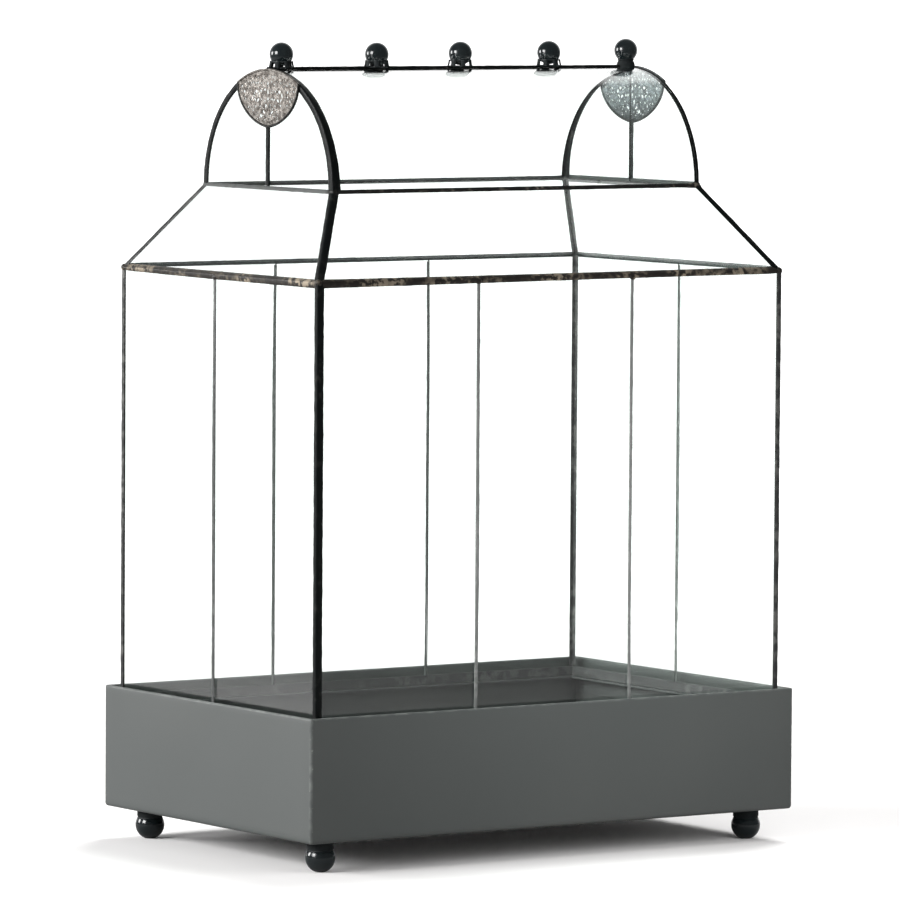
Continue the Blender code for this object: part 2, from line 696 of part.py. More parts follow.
TRAY_PAINT = material("tray_paint", (0.075, 0.085, 0.085), 0.45, 0.0)
FOOT_BLACK = material("foot_black", (0.006, 0.008, 0.009), 0.2, 0.0)
STEEL = material("screw_steel", (0.45, 0.46, 0.47), 0.35, 1.0)
CLEAR_GLASS = material("clear_glass", (0.95, 0.99, 0.97), 0.02, 0.0, transmission=1.0)
SOLDER = material("dark_solder", (0.02, 0.021, 0.02), 0.4, 0.6)
FINIAL_BLACK = material("finial_black", (0.012, 0.016, 0.017), 0.3, 0.2)
FILIGREE = material("filigree_silver", (0.36, 0.35, 0.33), 0.4, 0.9)
TOOL = material("cutter", (0.8, 0.2, 0.2), 0.5, 0.0)

tray_stand = empty("tray_stand", (0, 0, 0))
make_tray(tray_stand)
make_ledge(tray_stand)
make_feet(tray_stand)
make_screws(tray_stand)

case_lift = empty("case_lift", (0, 0, LEDGE_TOP))
make_channel(case_lift)
make_walls(case_lift)
make_slopes(case_lift)
make_vault(case_lift)
make_gables(case_lift)
make_posts_and_hips(case_lift)
make_eave(case_lift)
make_shoulder(case_lift)
make_arches(case_lift)
make_ridge(case_lift)
make_finials(case_lift)
make_plates(case_lift)
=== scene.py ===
from math import acos, asin, atan2, copysign, cos, degrees, exp, hypot, pi, radians, sin, sqrt, tan
from types import SimpleNamespace

import bmesh
import bpy
import numpy as np
from mathutils import Matrix, Vector
from mathutils.geometry import delaunay_2d_cdt


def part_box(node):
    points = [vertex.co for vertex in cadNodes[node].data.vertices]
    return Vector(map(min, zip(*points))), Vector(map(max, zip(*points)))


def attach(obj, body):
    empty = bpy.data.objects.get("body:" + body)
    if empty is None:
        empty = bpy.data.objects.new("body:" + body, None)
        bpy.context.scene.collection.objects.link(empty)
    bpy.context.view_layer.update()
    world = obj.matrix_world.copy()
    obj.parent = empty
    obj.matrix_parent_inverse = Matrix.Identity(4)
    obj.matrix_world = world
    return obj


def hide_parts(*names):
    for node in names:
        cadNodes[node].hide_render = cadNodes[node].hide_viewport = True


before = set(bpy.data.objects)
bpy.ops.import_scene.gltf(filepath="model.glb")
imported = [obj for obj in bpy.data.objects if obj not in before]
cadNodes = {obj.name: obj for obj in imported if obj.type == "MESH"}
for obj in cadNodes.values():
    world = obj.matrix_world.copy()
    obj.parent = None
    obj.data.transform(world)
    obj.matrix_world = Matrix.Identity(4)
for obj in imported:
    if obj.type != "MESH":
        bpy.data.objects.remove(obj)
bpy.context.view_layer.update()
mm = 0.001
corners = {"front_left": (-1, -1), "front_right": (1, -1), "rear_right": (1, 1), "rear_left": (-1, 1)}
gables = {"left": -1, "right": 1}
glassThick = 2.0 * mm
halfGap = 0.15 * mm    # half the gap between panes
print("frame loaded:", len(cadNodes), "nodes")


# sizes of the glass house, read from the CAD nodes
def measureHouse():
    vaultLow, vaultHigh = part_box("front_vault_pane")
    paneLow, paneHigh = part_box("front_pane_2")
    sizes = SimpleNamespace(
        glassX=-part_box("left_pane_1")[0].x,
        glassY=-paneLow.y,
        shoulderX=vaultHigh.x,
        vaultRadius=-vaultLow.y,
        eaveZ=paneHigh.z + halfGap,
        shoulderZ=vaultLow.z - halfGap,
        barBase=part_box("front_bar_1")[0].z,
        archBase=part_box("left_arch")[0].z,
    )
    rise = sizes.shoulderZ - sizes.eaveZ
    sizes.crown = sizes.shoulderZ + sizes.vaultRadius
    sizes.endLean = atan2(rise, sizes.glassX - sizes.shoulderX)
    sizes.sideLean = atan2(rise, sizes.glassY - sizes.vaultRadius)
    return sizes


house = measureHouse()


# node helpers
def feed(tree, node, inputs):
    for key, value in inputs.items():
        if isinstance(value, bpy.types.NodeSocket):
            tree.links.new(value, node.inputs[key])
        else:
            node.inputs[key].default_value = value


def addNode(tree, kind, inputs=None, **settings):
    node = tree.nodes.new(kind)
    for key, value in settings.items():
        setattr(node, key, value)
    feed(tree, node, inputs or {})
    return node


def nodeOut(tree, kind, inputs=None, **settings):
    return addNode(tree, kind, inputs, **settings).outputs[0]


def calc(tree, operation, a, b=0.0, clamp=False):
    return nodeOut(tree, "ShaderNodeMath", {0: a, 1: b}, operation=operation, use_clamp=clamp)


def times(tree, a, b):
    return calc(tree, "MULTIPLY", a, b)


def ramp(tree, value, low, high, outLow=0.0, outHigh=1.0):
    inputs = {"Value": value, "From Min": low, "From Max": high, "To Min": outLow, "To Max": outHigh}
    return nodeOut(tree, "ShaderNodeMapRange", inputs, interpolation_type="SMOOTHSTEP")


def span(tree, mask, limits):
    return ramp(tree, mask, 0.0, 1.0, *limits)


def mixColour(tree, factor, a, b, blend="MIX"):
    node = addNode(tree, "ShaderNodeMix", {0: factor, 6: a, 7: b}, data_type="RGBA", blend_type=blend)
    return node.outputs[2]


def newMaterial(name):
    made = bpy.data.materials.new(name)
    made.use_nodes = True
    tree = made.node_tree
    tree.nodes.clear()
    shader = addNode(tree, "ShaderNodeBsdfPrincipled")
    addNode(tree, "ShaderNodeOutputMaterial", {"Surface": shader.outputs[0]})
    return made, tree, shader


# lets light straight through where the mask is 1
def letThrough(tree, shader, mask, tint=(1, 1, 1, 1)):
    clear = nodeOut(tree, "ShaderNodeBsdfTransparent", {"Color": tint})
    mixed = nodeOut(tree, "ShaderNodeMixShader", {0: mask, 1: shader.outputs[0], 2: clear})
    out = next(node for node in tree.nodes if node.type == "OUTPUT_MATERIAL")
    tree.links.new(mixed, out.inputs["Surface"])


# noise on object coordinates: a mask of blotches if it has a start and an end, or else plain grain
def noiseGroup(name, output, sockets):
    tree = bpy.data.node_groups.new(name, "ShaderNodeTree")
    for label, value in sockets.items():
        socket = tree.interface.new_socket(label, in_out="INPUT", socket_type="NodeSocketFloat")
        socket.default_value = value
    tree.interface.new_socket(output, in_out="OUTPUT", socket_type="NodeSocketFloat")
    ins = tree.nodes.new("NodeGroupInput").outputs
    coords = addNode(tree, "ShaderNodeTexCoord").outputs["Object"]
    shifted = nodeOut(tree, "ShaderNodeVectorMath", {0: coords, 1: ins["Seed"]}, operation="ADD")
    scale = calc(tree, "DIVIDE", 1.0, ins["Size"])
    inputs = {"Vector": shifted, "Scale": scale, "Detail": ins["Detail"], "Roughness": ins["Roughness"]}
    level = addNode(tree, "ShaderNodeTexNoise", inputs).outputs["Fac"]
    if "Start" in sockets:
        level = ramp(tree, level, ins["Start"], ins["End"])
    tree.links.new(level, tree.nodes.new("NodeGroupOutput").inputs[0])
    return tree


noiseSockets = {"Size": 0.01, "Seed": 0.0, "Detail": 2.0, "Roughness": 0.5}
grainTree = noiseGroup("grain", "Height", noiseSockets)
patchTree = noiseGroup("patches", "Mask", {**noiseSockets, "Start": 0.45, "End": 0.6})


def patches(tree, size, seed, start, end, detail=3.0):
    inputs = {"Size": size, "Seed": seed, "Start": start, "End": end, "Detail": detail, "Roughness": 0.55}
    return nodeOut(tree, "ShaderNodeGroup", inputs, node_tree=patchTree)


def bump(tree, shader, size, seed, depth):
    height = nodeOut(tree, "ShaderNodeGroup", {"Size": size, "Seed": seed}, node_tree=grainTree)
    inputs = {"Height": height, "Distance": depth, "Strength": 1.0}
    feed(tree, shader, {"Normal": nodeOut(tree, "ShaderNodeBump", inputs)})


def objectPlace(tree):
    coords = addNode(tree, "ShaderNodeTexCoord").outputs["Object"]
    return addNode(tree, "ShaderNodeSeparateXYZ", {0: coords}).outputs


# the base of a finish: two colours and two roughnesses that change places in patches, and a bumpy surface;
# a patch is (size, seed, start, end, detail) and a bump is (size, seed, depth)
def baseFinish(name, finish):
    made, tree, shader = newMaterial(name)
    mask = patches(tree, *finish["patch"])
    colour = mixColour(tree, mask, *finish["colours"])
    rough = span(tree, mask, finish["roughness"])
    feed(tree, shader, {"Base Color": colour, "Roughness": rough, "Metallic": finish["metallic"]})
    bump(tree, shader, *finish["bump"])
    return SimpleNamespace(made=made, tree=tree, shader=shader, colour=colour, rough=rough)


# satin grey paint on sheet steel, rubbed and chipped at its upright corners and its rim; the lighter patches
# there are paint wear and also a painted highlight along those edges
trayPaint = {
    "colour": (0.071, 0.078, 0.076, 1),
    "faded": (0.080, 0.086, 0.083, 1),
    "worn": (0.21, 0.22, 0.21, 1),
    "chipped": (0.36, 0.36, 0.34, 1),
    "wearAndHighlight": 0.5,
    "fadedPatch": (160 * mm, 1.0, 0.3, 0.7, 1.0),
    "wornPatch": (9 * mm, 3.0, 0.35, 0.75),
    "chippedPatch": (2.2 * mm, 7.0, 0.66, 0.7),
    "roughness": (0.40, 0.47),
    "roughPatch": (60 * mm, 5.0, 0.2, 0.8, 2.0),
    "peel": (1.7 * mm, 2.0, 0.02 * mm),
    "edge": (2.2 * mm, 1.2 * mm),
    "rim": (1.6 * mm, 0.5 * mm),
}


def makeTrayPaint():
    made, tree, shader = newMaterial("satinGreyPaint")
    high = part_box("tray")[1]
    place = objectPlace(tree)
    near = []
    for axis in (0, 1):
        start, stop = (high[axis] - reach for reach in trayPaint["edge"])
        near.append(ramp(tree, calc(tree, "ABSOLUTE", place[axis]), start, stop))
    rim = ramp(tree, place[2], *(high.z - reach for reach in trayPaint["rim"]))
    edges = calc(tree, "MAXIMUM", times(tree, *near), rim)
    colour = mixColour(tree, patches(tree, *trayPaint["fadedPatch"]), trayPaint["colour"], trayPaint["faded"])
    # lighter patches along the upright corners and the rim: paint wear, and a painted highlight on those
    # edges
    for kind in ("worn", "chipped"):
        mask = times(tree, edges, patches(tree, *trayPaint[kind + "Patch"]))
        colour = mixColour(tree, times(tree, mask, trayPaint["wearAndHighlight"]), colour, trayPaint[kind])
    rough = span(tree, patches(tree, *trayPaint["roughPatch"]), trayPaint["roughness"])
    feed(tree, shader, {"Base Color": colour, "Roughness": rough})
    bump(tree, shader, *trayPaint["peel"])
    return made


# near-black gloss of the ball feet and the finials; their collars and caps are dull between these heights
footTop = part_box("ball_foot_front_left")[1].z
ballGloss = {
    "colours": ((0.005, 0.008, 0.009, 1), (0.010, 0.014, 0.015, 1)),
    "patch": (7 * mm, 11.0, 0.42, 0.72),
    "roughness": (0.13, 0.22),
    "metallic": 0.0,
    "bump": (1.6 * mm, 4.0, 0.01 * mm),
    "dullHeights": ((footTop - 7.2 * mm, footTop + 10.3 * mm), (house.crown - 2 * mm, house.crown + 5 * mm)),
    "dullRoughness": 0.85,
    "dullEdge": 1.5 * mm,
}


def makeBallGloss():
    base = baseFinish("blackGloss", ballGloss)
    tree, rough = base.tree, base.rough
    z = objectPlace(tree)[2]
    soft = ballGloss["dullEdge"]
    for low, high in ballGloss["dullHeights"]:
        above = ramp(tree, z, low, low + soft)
        below = ramp(tree, z, high, high + soft, ballGloss["dullRoughness"], 0.0)
        rough = calc(tree, "MAXIMUM", rough, times(tree, above, below))
    feed(tree, base.shader, {"Roughness": rough})
    return base.made


# solder under a black patina: share is how much bare metal shows, patch the size of its spots; away from the
# dark faces, which lie at these places along x and y, a duller, paler grey is painted on the far strips, a
# painted light for how they show through the glass
solderFinishes = {
    "blackSolder": {"dark": (0.003, 0.004, 0.004, 1), "worn": (0.030, 0.030, 0.028, 1),
                    "share": 0.2, "seed": 21.0, "specular": 0.12},
    "darkSolder": {"dark": (0.020, 0.021, 0.021, 1), "worn": (0.110, 0.110, 0.105, 1),
                   "share": 0.5, "seed": 23.0, "specular": 0.4},
    "eaveSolder": {"dark": (0.014, 0.012, 0.010, 1), "worn": (0.310, 0.262, 0.200, 1),
                   "share": 0.54, "seed": 27.0, "specular": 0.3, "patch": 4 * mm,
                   # painted light: the rear and right sides of the eave take a paler grey, for how they show
                   # through the glass
                   "plain": (0.034, 0.045, 0.043, 1),
                   "faces": {0: 2.45 * mm - house.glassX, 1: 2.1 * mm - house.glassY}},
    "shoulderSolder": {"dark": (0.010, 0.010, 0.009, 1), "worn": (0.260, 0.230, 0.190, 1),
                       # painted light: away from its front the shoulder takes a paler grey, for how it shows
                       # through the glass
                       "share": 0.16, "seed": 29.0, "specular": 0.3,
                       "plain": (0.070, 0.074, 0.072, 1), "faces": {1: 3.6 * mm - house.vaultRadius}},
    "greySolder": {"dark": (0.052, 0.055, 0.054, 1), "worn": (0.135, 0.137, 0.135, 1),
                   "share": 0.5, "seed": 33.0, "specular": 0.5},
    "paleSolder": {"dark": (0.150, 0.156, 0.152, 1), "worn": (0.270, 0.272, 0.268, 1),
                   "share": 0.5, "seed": 37.0, "specular": 0.5},
}
solderLook = {
    "patch": 6 * mm,
    "bareLevel": (0.64, 0.36),    # noise level at the edge of the bare spots, from no share to all
    "bareEdge": (-0.06, 0.1),
    "streak": (34 * mm, 0.40, 0.62, 4.0),
    "metallic": (0.05, 0.45),
    "roughness": (0.40, 0.55),
    "grain": 0.8 * mm,
    "grainDepth": 0.05 * mm,
    "faceEdge": 5 * mm,
}


def makeSolder(name):
    finish = solderFinishes[name]
    made, tree, shader = newMaterial(name)
    seed = finish["seed"]
    none, whole = solderLook["bareLevel"]
    level = none + (whole - none) * finish["share"]
    limits = [level + edge for edge in solderLook["bareEdge"]]
    bare = patches(tree, finish.get("patch", solderLook["patch"]), seed, *limits)
    size, *levels = solderLook["streak"]
    shown = times(tree, bare, patches(tree, size, seed + 3, *levels))
    colour = mixColour(tree, shown, finish["dark"], finish["worn"])
    # painted light: away from the near faces the strip turns a paler grey, for how the far strips show
    # through the glass
    if "plain" in finish:
        place = objectPlace(tree)
        dark = 0.0
        for axis, edge in finish["faces"].items():
            dark = calc(tree, "MAXIMUM", dark, ramp(tree, place[axis], edge + solderLook["faceEdge"], edge))
        colour = mixColour(tree, dark, finish["plain"], colour)
    metallic = span(tree, shown, solderLook["metallic"])
    rough = span(tree, bare, solderLook["roughness"])
    feed(tree, shader, {"Base Color": colour, "Metallic": metallic, "Roughness": rough,
                        "Specular IOR Level": finish["specular"]})
    bump(tree, shader, solderLook["grain"], seed, solderLook["grainDepth"])
    return made


# aged silver of the filigree, black in the rim; darker towards the tip is painted shade, and the right
# plate's paler, bluer colours are a painted reflection
silverFinish = {
    "left": {"colours": ((0.37, 0.34, 0.31, 1), (0.125, 0.107, 0.092, 1)), "tip": 0.8, "black": 1.0},
    # painted reflection: the right plate, seen through the glass, is painted paler and bluer
    "right": {"colours": ((0.52, 0.57, 0.60, 1), (0.17, 0.19, 0.20, 1)), "tip": 0.30, "black": 0.8},
    "rim": (0.012, 0.012, 0.011, 1),
    "paintedShadeEnd": 2 / 3,             # share of the height where the painted shade ends
    "patch": (2.6 * mm, 41.0, 0.38, 0.62),
    "roughness": (0.34, 0.5),
    "metallic": 0.7,
    "bump": (0.5 * mm, 8.0, 0.03 * mm),
}


def makeSilver(side):
    finish = {**silverFinish, **silverFinish[side]}
    base = baseFinish(side + "Silver", finish)
    tree = base.tree
    low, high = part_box(side + "_filigree")
    paintedShadeTopZ = low.z + (high.z - low.z) * finish["paintedShadeEnd"]
    # painted shade: darker towards the tip, most on the right plate
    fade = ramp(tree, objectPlace(tree)[2], low.z, paintedShadeTopZ, finish["tip"], 1.0)
    grey = nodeOut(tree, "ShaderNodeCombineColor", {0: fade, 1: fade, 2: fade})
    colour = mixColour(tree, 1.0, base.colour, grey, "MULTIPLY")
    rim = addNode(tree, "ShaderNodeAttribute", attribute_name="rim").outputs["Fac"]
    colour = mixColour(tree, times(tree, rim, finish["black"]), colour, finish["rim"])
    feed(tree, base.shader, {"Base Color": colour})
    return base.made


# bright zinc of the screws
zincPlate = {
    "colours": ((0.56, 0.57, 0.58, 1), (0.34, 0.34, 0.33, 1)),
    "patch": (2 * mm, 51.0, 0.4, 0.65),
    "roughness": (0.25, 0.45),
    "metallic": 1.0,
    "bump": (0.4 * mm, 9.0, 0.01 * mm),
}

# clear sheet glass: faint waves and a trace of handling marks
clearGlass = {
    "tint": (0.972, 0.994, 0.985, 1),
    "lightTint": (0.95, 0.97, 0.96, 1),
    "ior": 1.5,
    "smudgePatch": (45 * mm, 61.0, 0.5, 0.8, 5.0),
    "roughness": (0.0, 0.035),
    "waves": (60 * mm, 12.0, 0.05 * mm),
}


def makeGlass():
    made, tree, shader = newMaterial("clearSheetGlass")
    rough = span(tree, patches(tree, *clearGlass["smudgePatch"]), clearGlass["roughness"])
    feed(tree, shader, {"Base Color": clearGlass["tint"], "Roughness": rough, "IOR": clearGlass["ior"],
                        "Transmission Weight": 1.0})
    bump(tree, shader, *clearGlass["waves"])
    # light and shadow pass straight through the panes
    path = addNode(tree, "ShaderNodeLightPath").outputs
    passing = calc(tree, "MAXIMUM", path["Is Shadow Ray"], path["Is Diffuse Ray"])
    letThrough(tree, shader, passing, clearGlass["lightTint"])
    return made


finishes = {name: makeSolder(name) for name in solderFinishes}
finishes["paint"] = makeTrayPaint()
finishes["gloss"] = makeBallGloss()
for side in gables:
    finishes[side + "Silver"] = makeSilver(side)
finishes["zinc"] = baseFinish("brightZinc", zincPlate).made
finishes["glass"] = makeGlass()
print("finishes made:", len(finishes))


# mesh helpers
def newObject(name, data):
    piece = bpy.data.objects.new(name, data)
    bpy.context.scene.collection.objects.link(piece)
    return piece


def soften(mesh, angle):
    mesh.shade_smooth()
    mesh.set_sharp_from_angle(angle=radians(angle))


def meshFrom(name, verts, faces, smooth=None):
    mesh = bpy.data.meshes.new(name)
    mesh.from_pydata([tuple(v) for v in verts], [], [tuple(f) for f in faces])
    work = bmesh.new()
    work.from_mesh(mesh)
    bmesh.ops.recalc_face_normals(work, faces=work.faces)
    work.to_mesh(mesh)
    work.free()
    if smooth is not None:
        soften(mesh, smooth)
    return mesh


# adds the other meshes to the first
def joined(mesh, *others):
    work = bmesh.new()
    for part in (mesh, *others):
        work.from_mesh(part)
    work.to_mesh(mesh)
    work.free()
    return mesh


def setPoints(mesh, name, values):
    mesh.attributes.new(name, "FLOAT", "POINT").data.foreach_set("value", np.asarray(values, np.float32))


# faces between equal rings of points, with flat ends unless the last ring meets the first
def ringFaces(count, size, closed=False):
    faces = []
    for i in range(count if closed else count - 1):
        a = i * size
        b = (i + 1) % count * size
        faces += [(a + j, a + (j + 1) % size, b + (j + 1) % size, b + j) for j in range(size)]
    if not closed:
        faces += [range(size), range((count - 1) * size, count * size)]
    return faces


# skin marks the points of a ring that may swell
def loft(name, rings, skin=None, closed=False, smooth=50):
    rings = np.asarray(rings, float)
    count, size = rings.shape[:2]
    mesh = meshFrom(name, rings.reshape(-1, 3), ringFaces(count, size, closed), smooth)
    if skin is not None:
        setPoints(mesh, "skin", np.tile(skin, count))
    return mesh


def fullTurn(steps):
    return np.linspace(0, 2 * np.pi, steps, endpoint=False)


def polar(radius, turn):
    return radius * cos(turn), radius * sin(turn)


def lathe(name, profile, steps, centre=(0, 0), smooth=None):
    turns = [(cos(t), sin(t)) for t in fullTurn(steps)]
    verts = [(centre[0] + r * c, centre[1] + r * s, z) for r, z in profile for c, s in turns]
    return meshFrom(name, verts, ringFaces(len(profile), steps), smooth)


def ballArc(radius, centreZ, start, stop, steps):
    angles = np.radians(np.linspace(start, stop, steps))
    return [(radius * cos(a), centreZ + radius * sin(a)) for a in angles]


def between(first, last, step):
    first, last = np.asarray(first, float), np.asarray(last, float)
    count = max(2, int(np.linalg.norm(last - first, axis=-1).max() / step) + 1)
    return [first + (last - first) * t for t in np.linspace(0, 1, count)]


def middleOf(node):
    low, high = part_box(node)
    return (low + high) / 2


def dressPiece(piece, material, body, slot, *replaced):
    piece.data.materials.clear()
    piece.data.materials.append(material)
    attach(piece, body)
    if replaced:
        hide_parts(*replaced)


# turns the result of the modifiers into a plain mesh
def bakeModifiers(piece, smooth):
    graph = bpy.context.evaluated_depsgraph_get()
    mesh = bpy.data.meshes.new_from_object(piece.evaluated_get(graph), depsgraph=graph)
    piece.modifiers.clear()
    old = piece.data
    piece.data = mesh
    bpy.data.meshes.remove(old)
    soften(mesh, smooth)


# geometry node helpers
def nodeTree(name, sockets):
    tree = bpy.data.node_groups.new(name, "GeometryNodeTree")
    for label, kind in {"Geometry": "Geometry", **sockets}.items():
        tree.interface.new_socket(label, in_out="INPUT", socket_type="NodeSocket" + kind)
    tree.interface.new_socket("Geometry", in_out="OUTPUT", socket_type="NodeSocketGeometry")
    return tree, tree.nodes.new("NodeGroupInput").outputs


def pointValue(tree, name):
    return nodeOut(tree, "GeometryNodeInputNamedAttribute", {"Name": name}, data_type="FLOAT")


def closeTree(tree, parts, material):
    both = addNode(tree, "GeometryNodeJoinGeometry")
    for part in parts:
        tree.links.new(part, both.inputs[0])
    real = nodeOut(tree, "GeometryNodeRealizeInstances", {"Geometry": both.outputs[0]})
    done = nodeOut(tree, "GeometryNodeSetMaterial", {"Geometry": real, "Material": material})
    tree.links.new(done, tree.nodes.new("NodeGroupOutput").inputs[0])
    return tree


def useTree(piece, tree, values, smooth):
    modifier = piece.modifiers.new(tree.name, "NODES")
    modifier.node_group = tree
    for item in tree.interface.items_tree:
        if item.in_out == "INPUT" and item.name in values:
            modifier[item.identifier] = values[item.name]
    bakeModifiers(piece, smooth)


# hand-run solder: swells and ripples where the skin is free
solderRun = {"Lump Size": 9 * mm, "Lump Depth": 0.55 * mm, "Ripple Size": 2.2 * mm, "Ripple Depth": 0.25 * mm}
stripStep = 1.3 * mm
seat = 0.04 * mm
edgeThick = 0.3    # share of a strip's thickness at its edge
edgeSkin = 0.3     # how free the skin is at the edge of a bead


def solderTree():
    sockets = {**dict.fromkeys(solderRun, "Float"), "Seed": "Float", "Material": "Material"}
    tree, ins = nodeTree("runSolder", sockets)
    position = nodeOut(tree, "GeometryNodeInputPosition")
    seeded = nodeOut(tree, "ShaderNodeVectorMath", {0: position, 1: ins["Seed"]}, operation="ADD")
    swells = []
    for label in ("Lump", "Ripple"):
        scale = calc(tree, "DIVIDE", 1.0, ins[label + " Size"])
        noise = addNode(tree, "ShaderNodeTexNoise", {"Vector": seeded, "Scale": scale, "Detail": 1.0})
        level = calc(tree, "SUBTRACT", noise.outputs["Fac"], 0.5)
        swells.append(times(tree, level, ins[label + " Depth"]))
    swell = times(tree, calc(tree, "ADD", *swells), pointValue(tree, "skin"))
    normal = nodeOut(tree, "GeometryNodeInputNormal")
    push = nodeOut(tree, "ShaderNodeVectorMath", {0: normal, "Scale": swell}, operation="SCALE")
    moved = nodeOut(tree, "GeometryNodeSetPosition", {"Geometry": ins["Geometry"], "Offset": push})
    return closeTree(tree, [moved], ins["Material"])


runSolder = solderTree()


def solderPiece(node, mesh, finish, seed, blobs=()):
    piece = newObject("solder_" + node, mesh)
    useTree(piece, runSolder, {**solderRun, "Seed": float(seed), "Material": finishes[finish]}, smooth=50)
    work = bmesh.new()
    work.from_mesh(piece.data)
    # blobs left where strips meet
    for centre, radii in blobs:
        place = Matrix.Translation(centre) @ Matrix.Diagonal((*radii, 1))
        lump = bmesh.ops.create_icosphere(work, subdivisions=2, radius=1.0, matrix=place)
        for face in {face for vert in lump["verts"] for face in vert.link_faces}:
            face.smooth = True
    work.to_mesh(piece.data)
    work.free()
    dressPiece(piece, finishes[finish], "glass_house", "dark_solder", node)


# thickness of a strip from its middle (0) to its edge (1)
def dome(share):
    return edgeThick + (1 - edgeThick) * sqrt(max(0.0, 1 - share * share))


# a section with its skin: the outer points may swell
def skinned(outer, inner):
    return outer + inner, [1.0] * len(outer) + [0.0] * len(inner)


# section round an outside corner: (out on the first face, out on the second)
def anglePoints(legX, legY, thickX, thickY, seatX=seat, seatY=seat):
    outer = [(-legX * s, seatY + thickY * dome(s)) for s in (1, 0.85, 0.6, 0.3)]
    for turn in np.radians((5, 25, 45, 65, 85)):
        outer.append(((seatX + thickX) * sin(turn), (seatY + thickY) * cos(turn)))
    outer += [(seatX + thickX * dome(s), -legY * s) for s in (0.3, 0.6, 0.85, 1)]
    return skinned(outer, [(seatX, -legY), (seatX, seatY), (-legX, seatY)])


# bead inside the same corner, behind the thickness of the glass
def innerPoints(legX, legY):
    behind = glassThick + seat
    fill = min(0.9 * mm, 0.4 * legX, 0.4 * legY)
    outer = [(legX, 0), (0.6 * legX, 0.75 * fill), (fill, fill), (0.75 * fill, 0.6 * legY), (0, legY), (0, 0)]
    return [(-behind - a, -behind - b) for a, b in outer], [edgeSkin, 1.0, 1.0, 1.0, edgeSkin, 0.0]


def flatPoints(width, thick):
    outer = [(width * s / 2, seat + thick * dome(abs(s))) for s in (-1, -0.75, -0.4, 0, 0.4, 0.75, 1)]
    return skinned(outer, [(width / 2, seat), (-width / 2, seat)])


# upright corner strips: legs on the long face and on the end, and the bead inside
postStrips = {
    "front_left": {"legs": (4.2 * mm, 3.2 * mm), "thick": 1.1 * mm, "finish": "blackSolder"},
    "front_right": {"legs": (2.5 * mm, 2.7 * mm), "thick": 0.8 * mm, "finish": "darkSolder"},
    "rear_right": {"legs": (2.7 * mm, 2.7 * mm), "thick": 0.8 * mm, "finish": "darkSolder",
                   "inside": (2.7 * mm, 3.1 * mm)},
    "rear_left": {"legs": (2.0 * mm, 2.2 * mm), "thick": 0.7 * mm, "finish": "darkSolder"},
}
postGap = 0.3 * mm
# strips on the leaning corners
hipStrips = {
    "front_left": {"leg": 4.1 * mm, "finish": "blackSolder"},
    "front_right": {"leg": 3.8 * mm, "finish": "blackSolder"},
    "rear_right": {"leg": 3.5 * mm, "finish": "darkSolder"},
    "rear_left": {"leg": 3.0 * mm, "finish": "darkSolder"},
}
hipThick = 0.9 * mm
hipOverlap = 1.2 * mm


def cornerLoft(name, section, places):
    sx, sy = corners[name]
    points, skin = section
    rings = [[(sx * (x + a), sy * (y + b), z) for a, b in points] for x, y, z in places]
    return loft("cornerStrip_" + name, between(*rings, stripStep), skin)


def makePosts():
    places = [(house.glassX, house.glassY, z) for z in (house.barBase, house.eaveZ - postGap)]
    for seed, (name, strip) in enumerate(postStrips.items()):
        lofts = [cornerLoft(name, anglePoints(*strip["legs"], strip["thick"], strip["thick"]), places)]
        if "inside" in strip:
            lofts.append(cornerLoft(name, innerPoints(*strip["inside"]), places))
        solderPiece("corner_post_" + name, joined(*lofts), strip["finish"], seed)


def makeHips():
    endSine, sideSine = sin(house.endLean), sin(house.sideLean)
    for seed, (name, strip) in enumerate(hipStrips.items(), 10):
        node = "hip_strip_" + name
        low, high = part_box(node)
        places = []
        for z in (low.z - hipOverlap, high.z + hipOverlap):
            up = z - house.eaveZ
            x = house.glassX - up / tan(house.endLean)
            y = house.glassY - up / tan(house.sideLean)
            places.append((x, y, z))
        section = anglePoints(strip["leg"], strip["leg"], hipThick / endSine, hipThick / sideSine,
                              seat / endSine, seat / sideSine)
        solderPiece(node, cornerLoft(name, section, places), strip["finish"], seed)


# level strips round the house, mitred at its corners; keys are sides gone round from the front left corner,
# then how far the strip reaches down and up in millimetres; blob is the size and inset of the corner blobs
eaveStrip = {
    "thick": 0.9 * mm,
    "finish": "eaveSolder",
    "blob": (2.4 * mm, 0.7 * mm),
    "barBlobs": {"front_bar_1": (2.4 * mm, 0.9 * mm, 1.9 * mm), "front_bar_2": (2.4 * mm, 0.9 * mm, 1.9 * mm),
                 "left_bar_1": (0.9 * mm, 2.6 * mm, 1.9 * mm)},
    "barBlobDrop": 1.4 * mm,
    "keys": ((0, 3.3, 2.1), (0.3, 2.8, 2.0), (0.6, 2.2, 2.2), (0.97, 1.8, 2.6), (1.03, 1.2, 3.0),
             (1.97, 1.1, 3.0), (2.03, 1.1, 2.8), (2.97, 1.0, 2.6), (3.03, 1.9, 2.5), (3.4, 2.8, 2.3),
             (4, 3.3, 2.1)),
}
shoulderStrip = {
    "thick": 0.85 * mm,
    "finish": "shoulderSolder",
    "blob": (2.1 * mm, 0.5 * mm),
    "keys": ((0, 1.1, 1.5), (0.97, 1.1, 1.5), (1.03, 1.9, 2.4), (1.97, 1.9, 2.2), (2.03, 1.0, 1.5),
             (2.97, 1.0, 1.4), (3.03, 1.0, 1.4), (4, 1.1, 1.5)),
}


def slopePoint(drop, off, topZ):
    outX, outY = (drop / tan(lean) + off / sin(lean) for lean in (house.endLean, house.sideLean))
    return outX, outY, topZ - drop


def wallPoint(off, z):
    return off, off, z


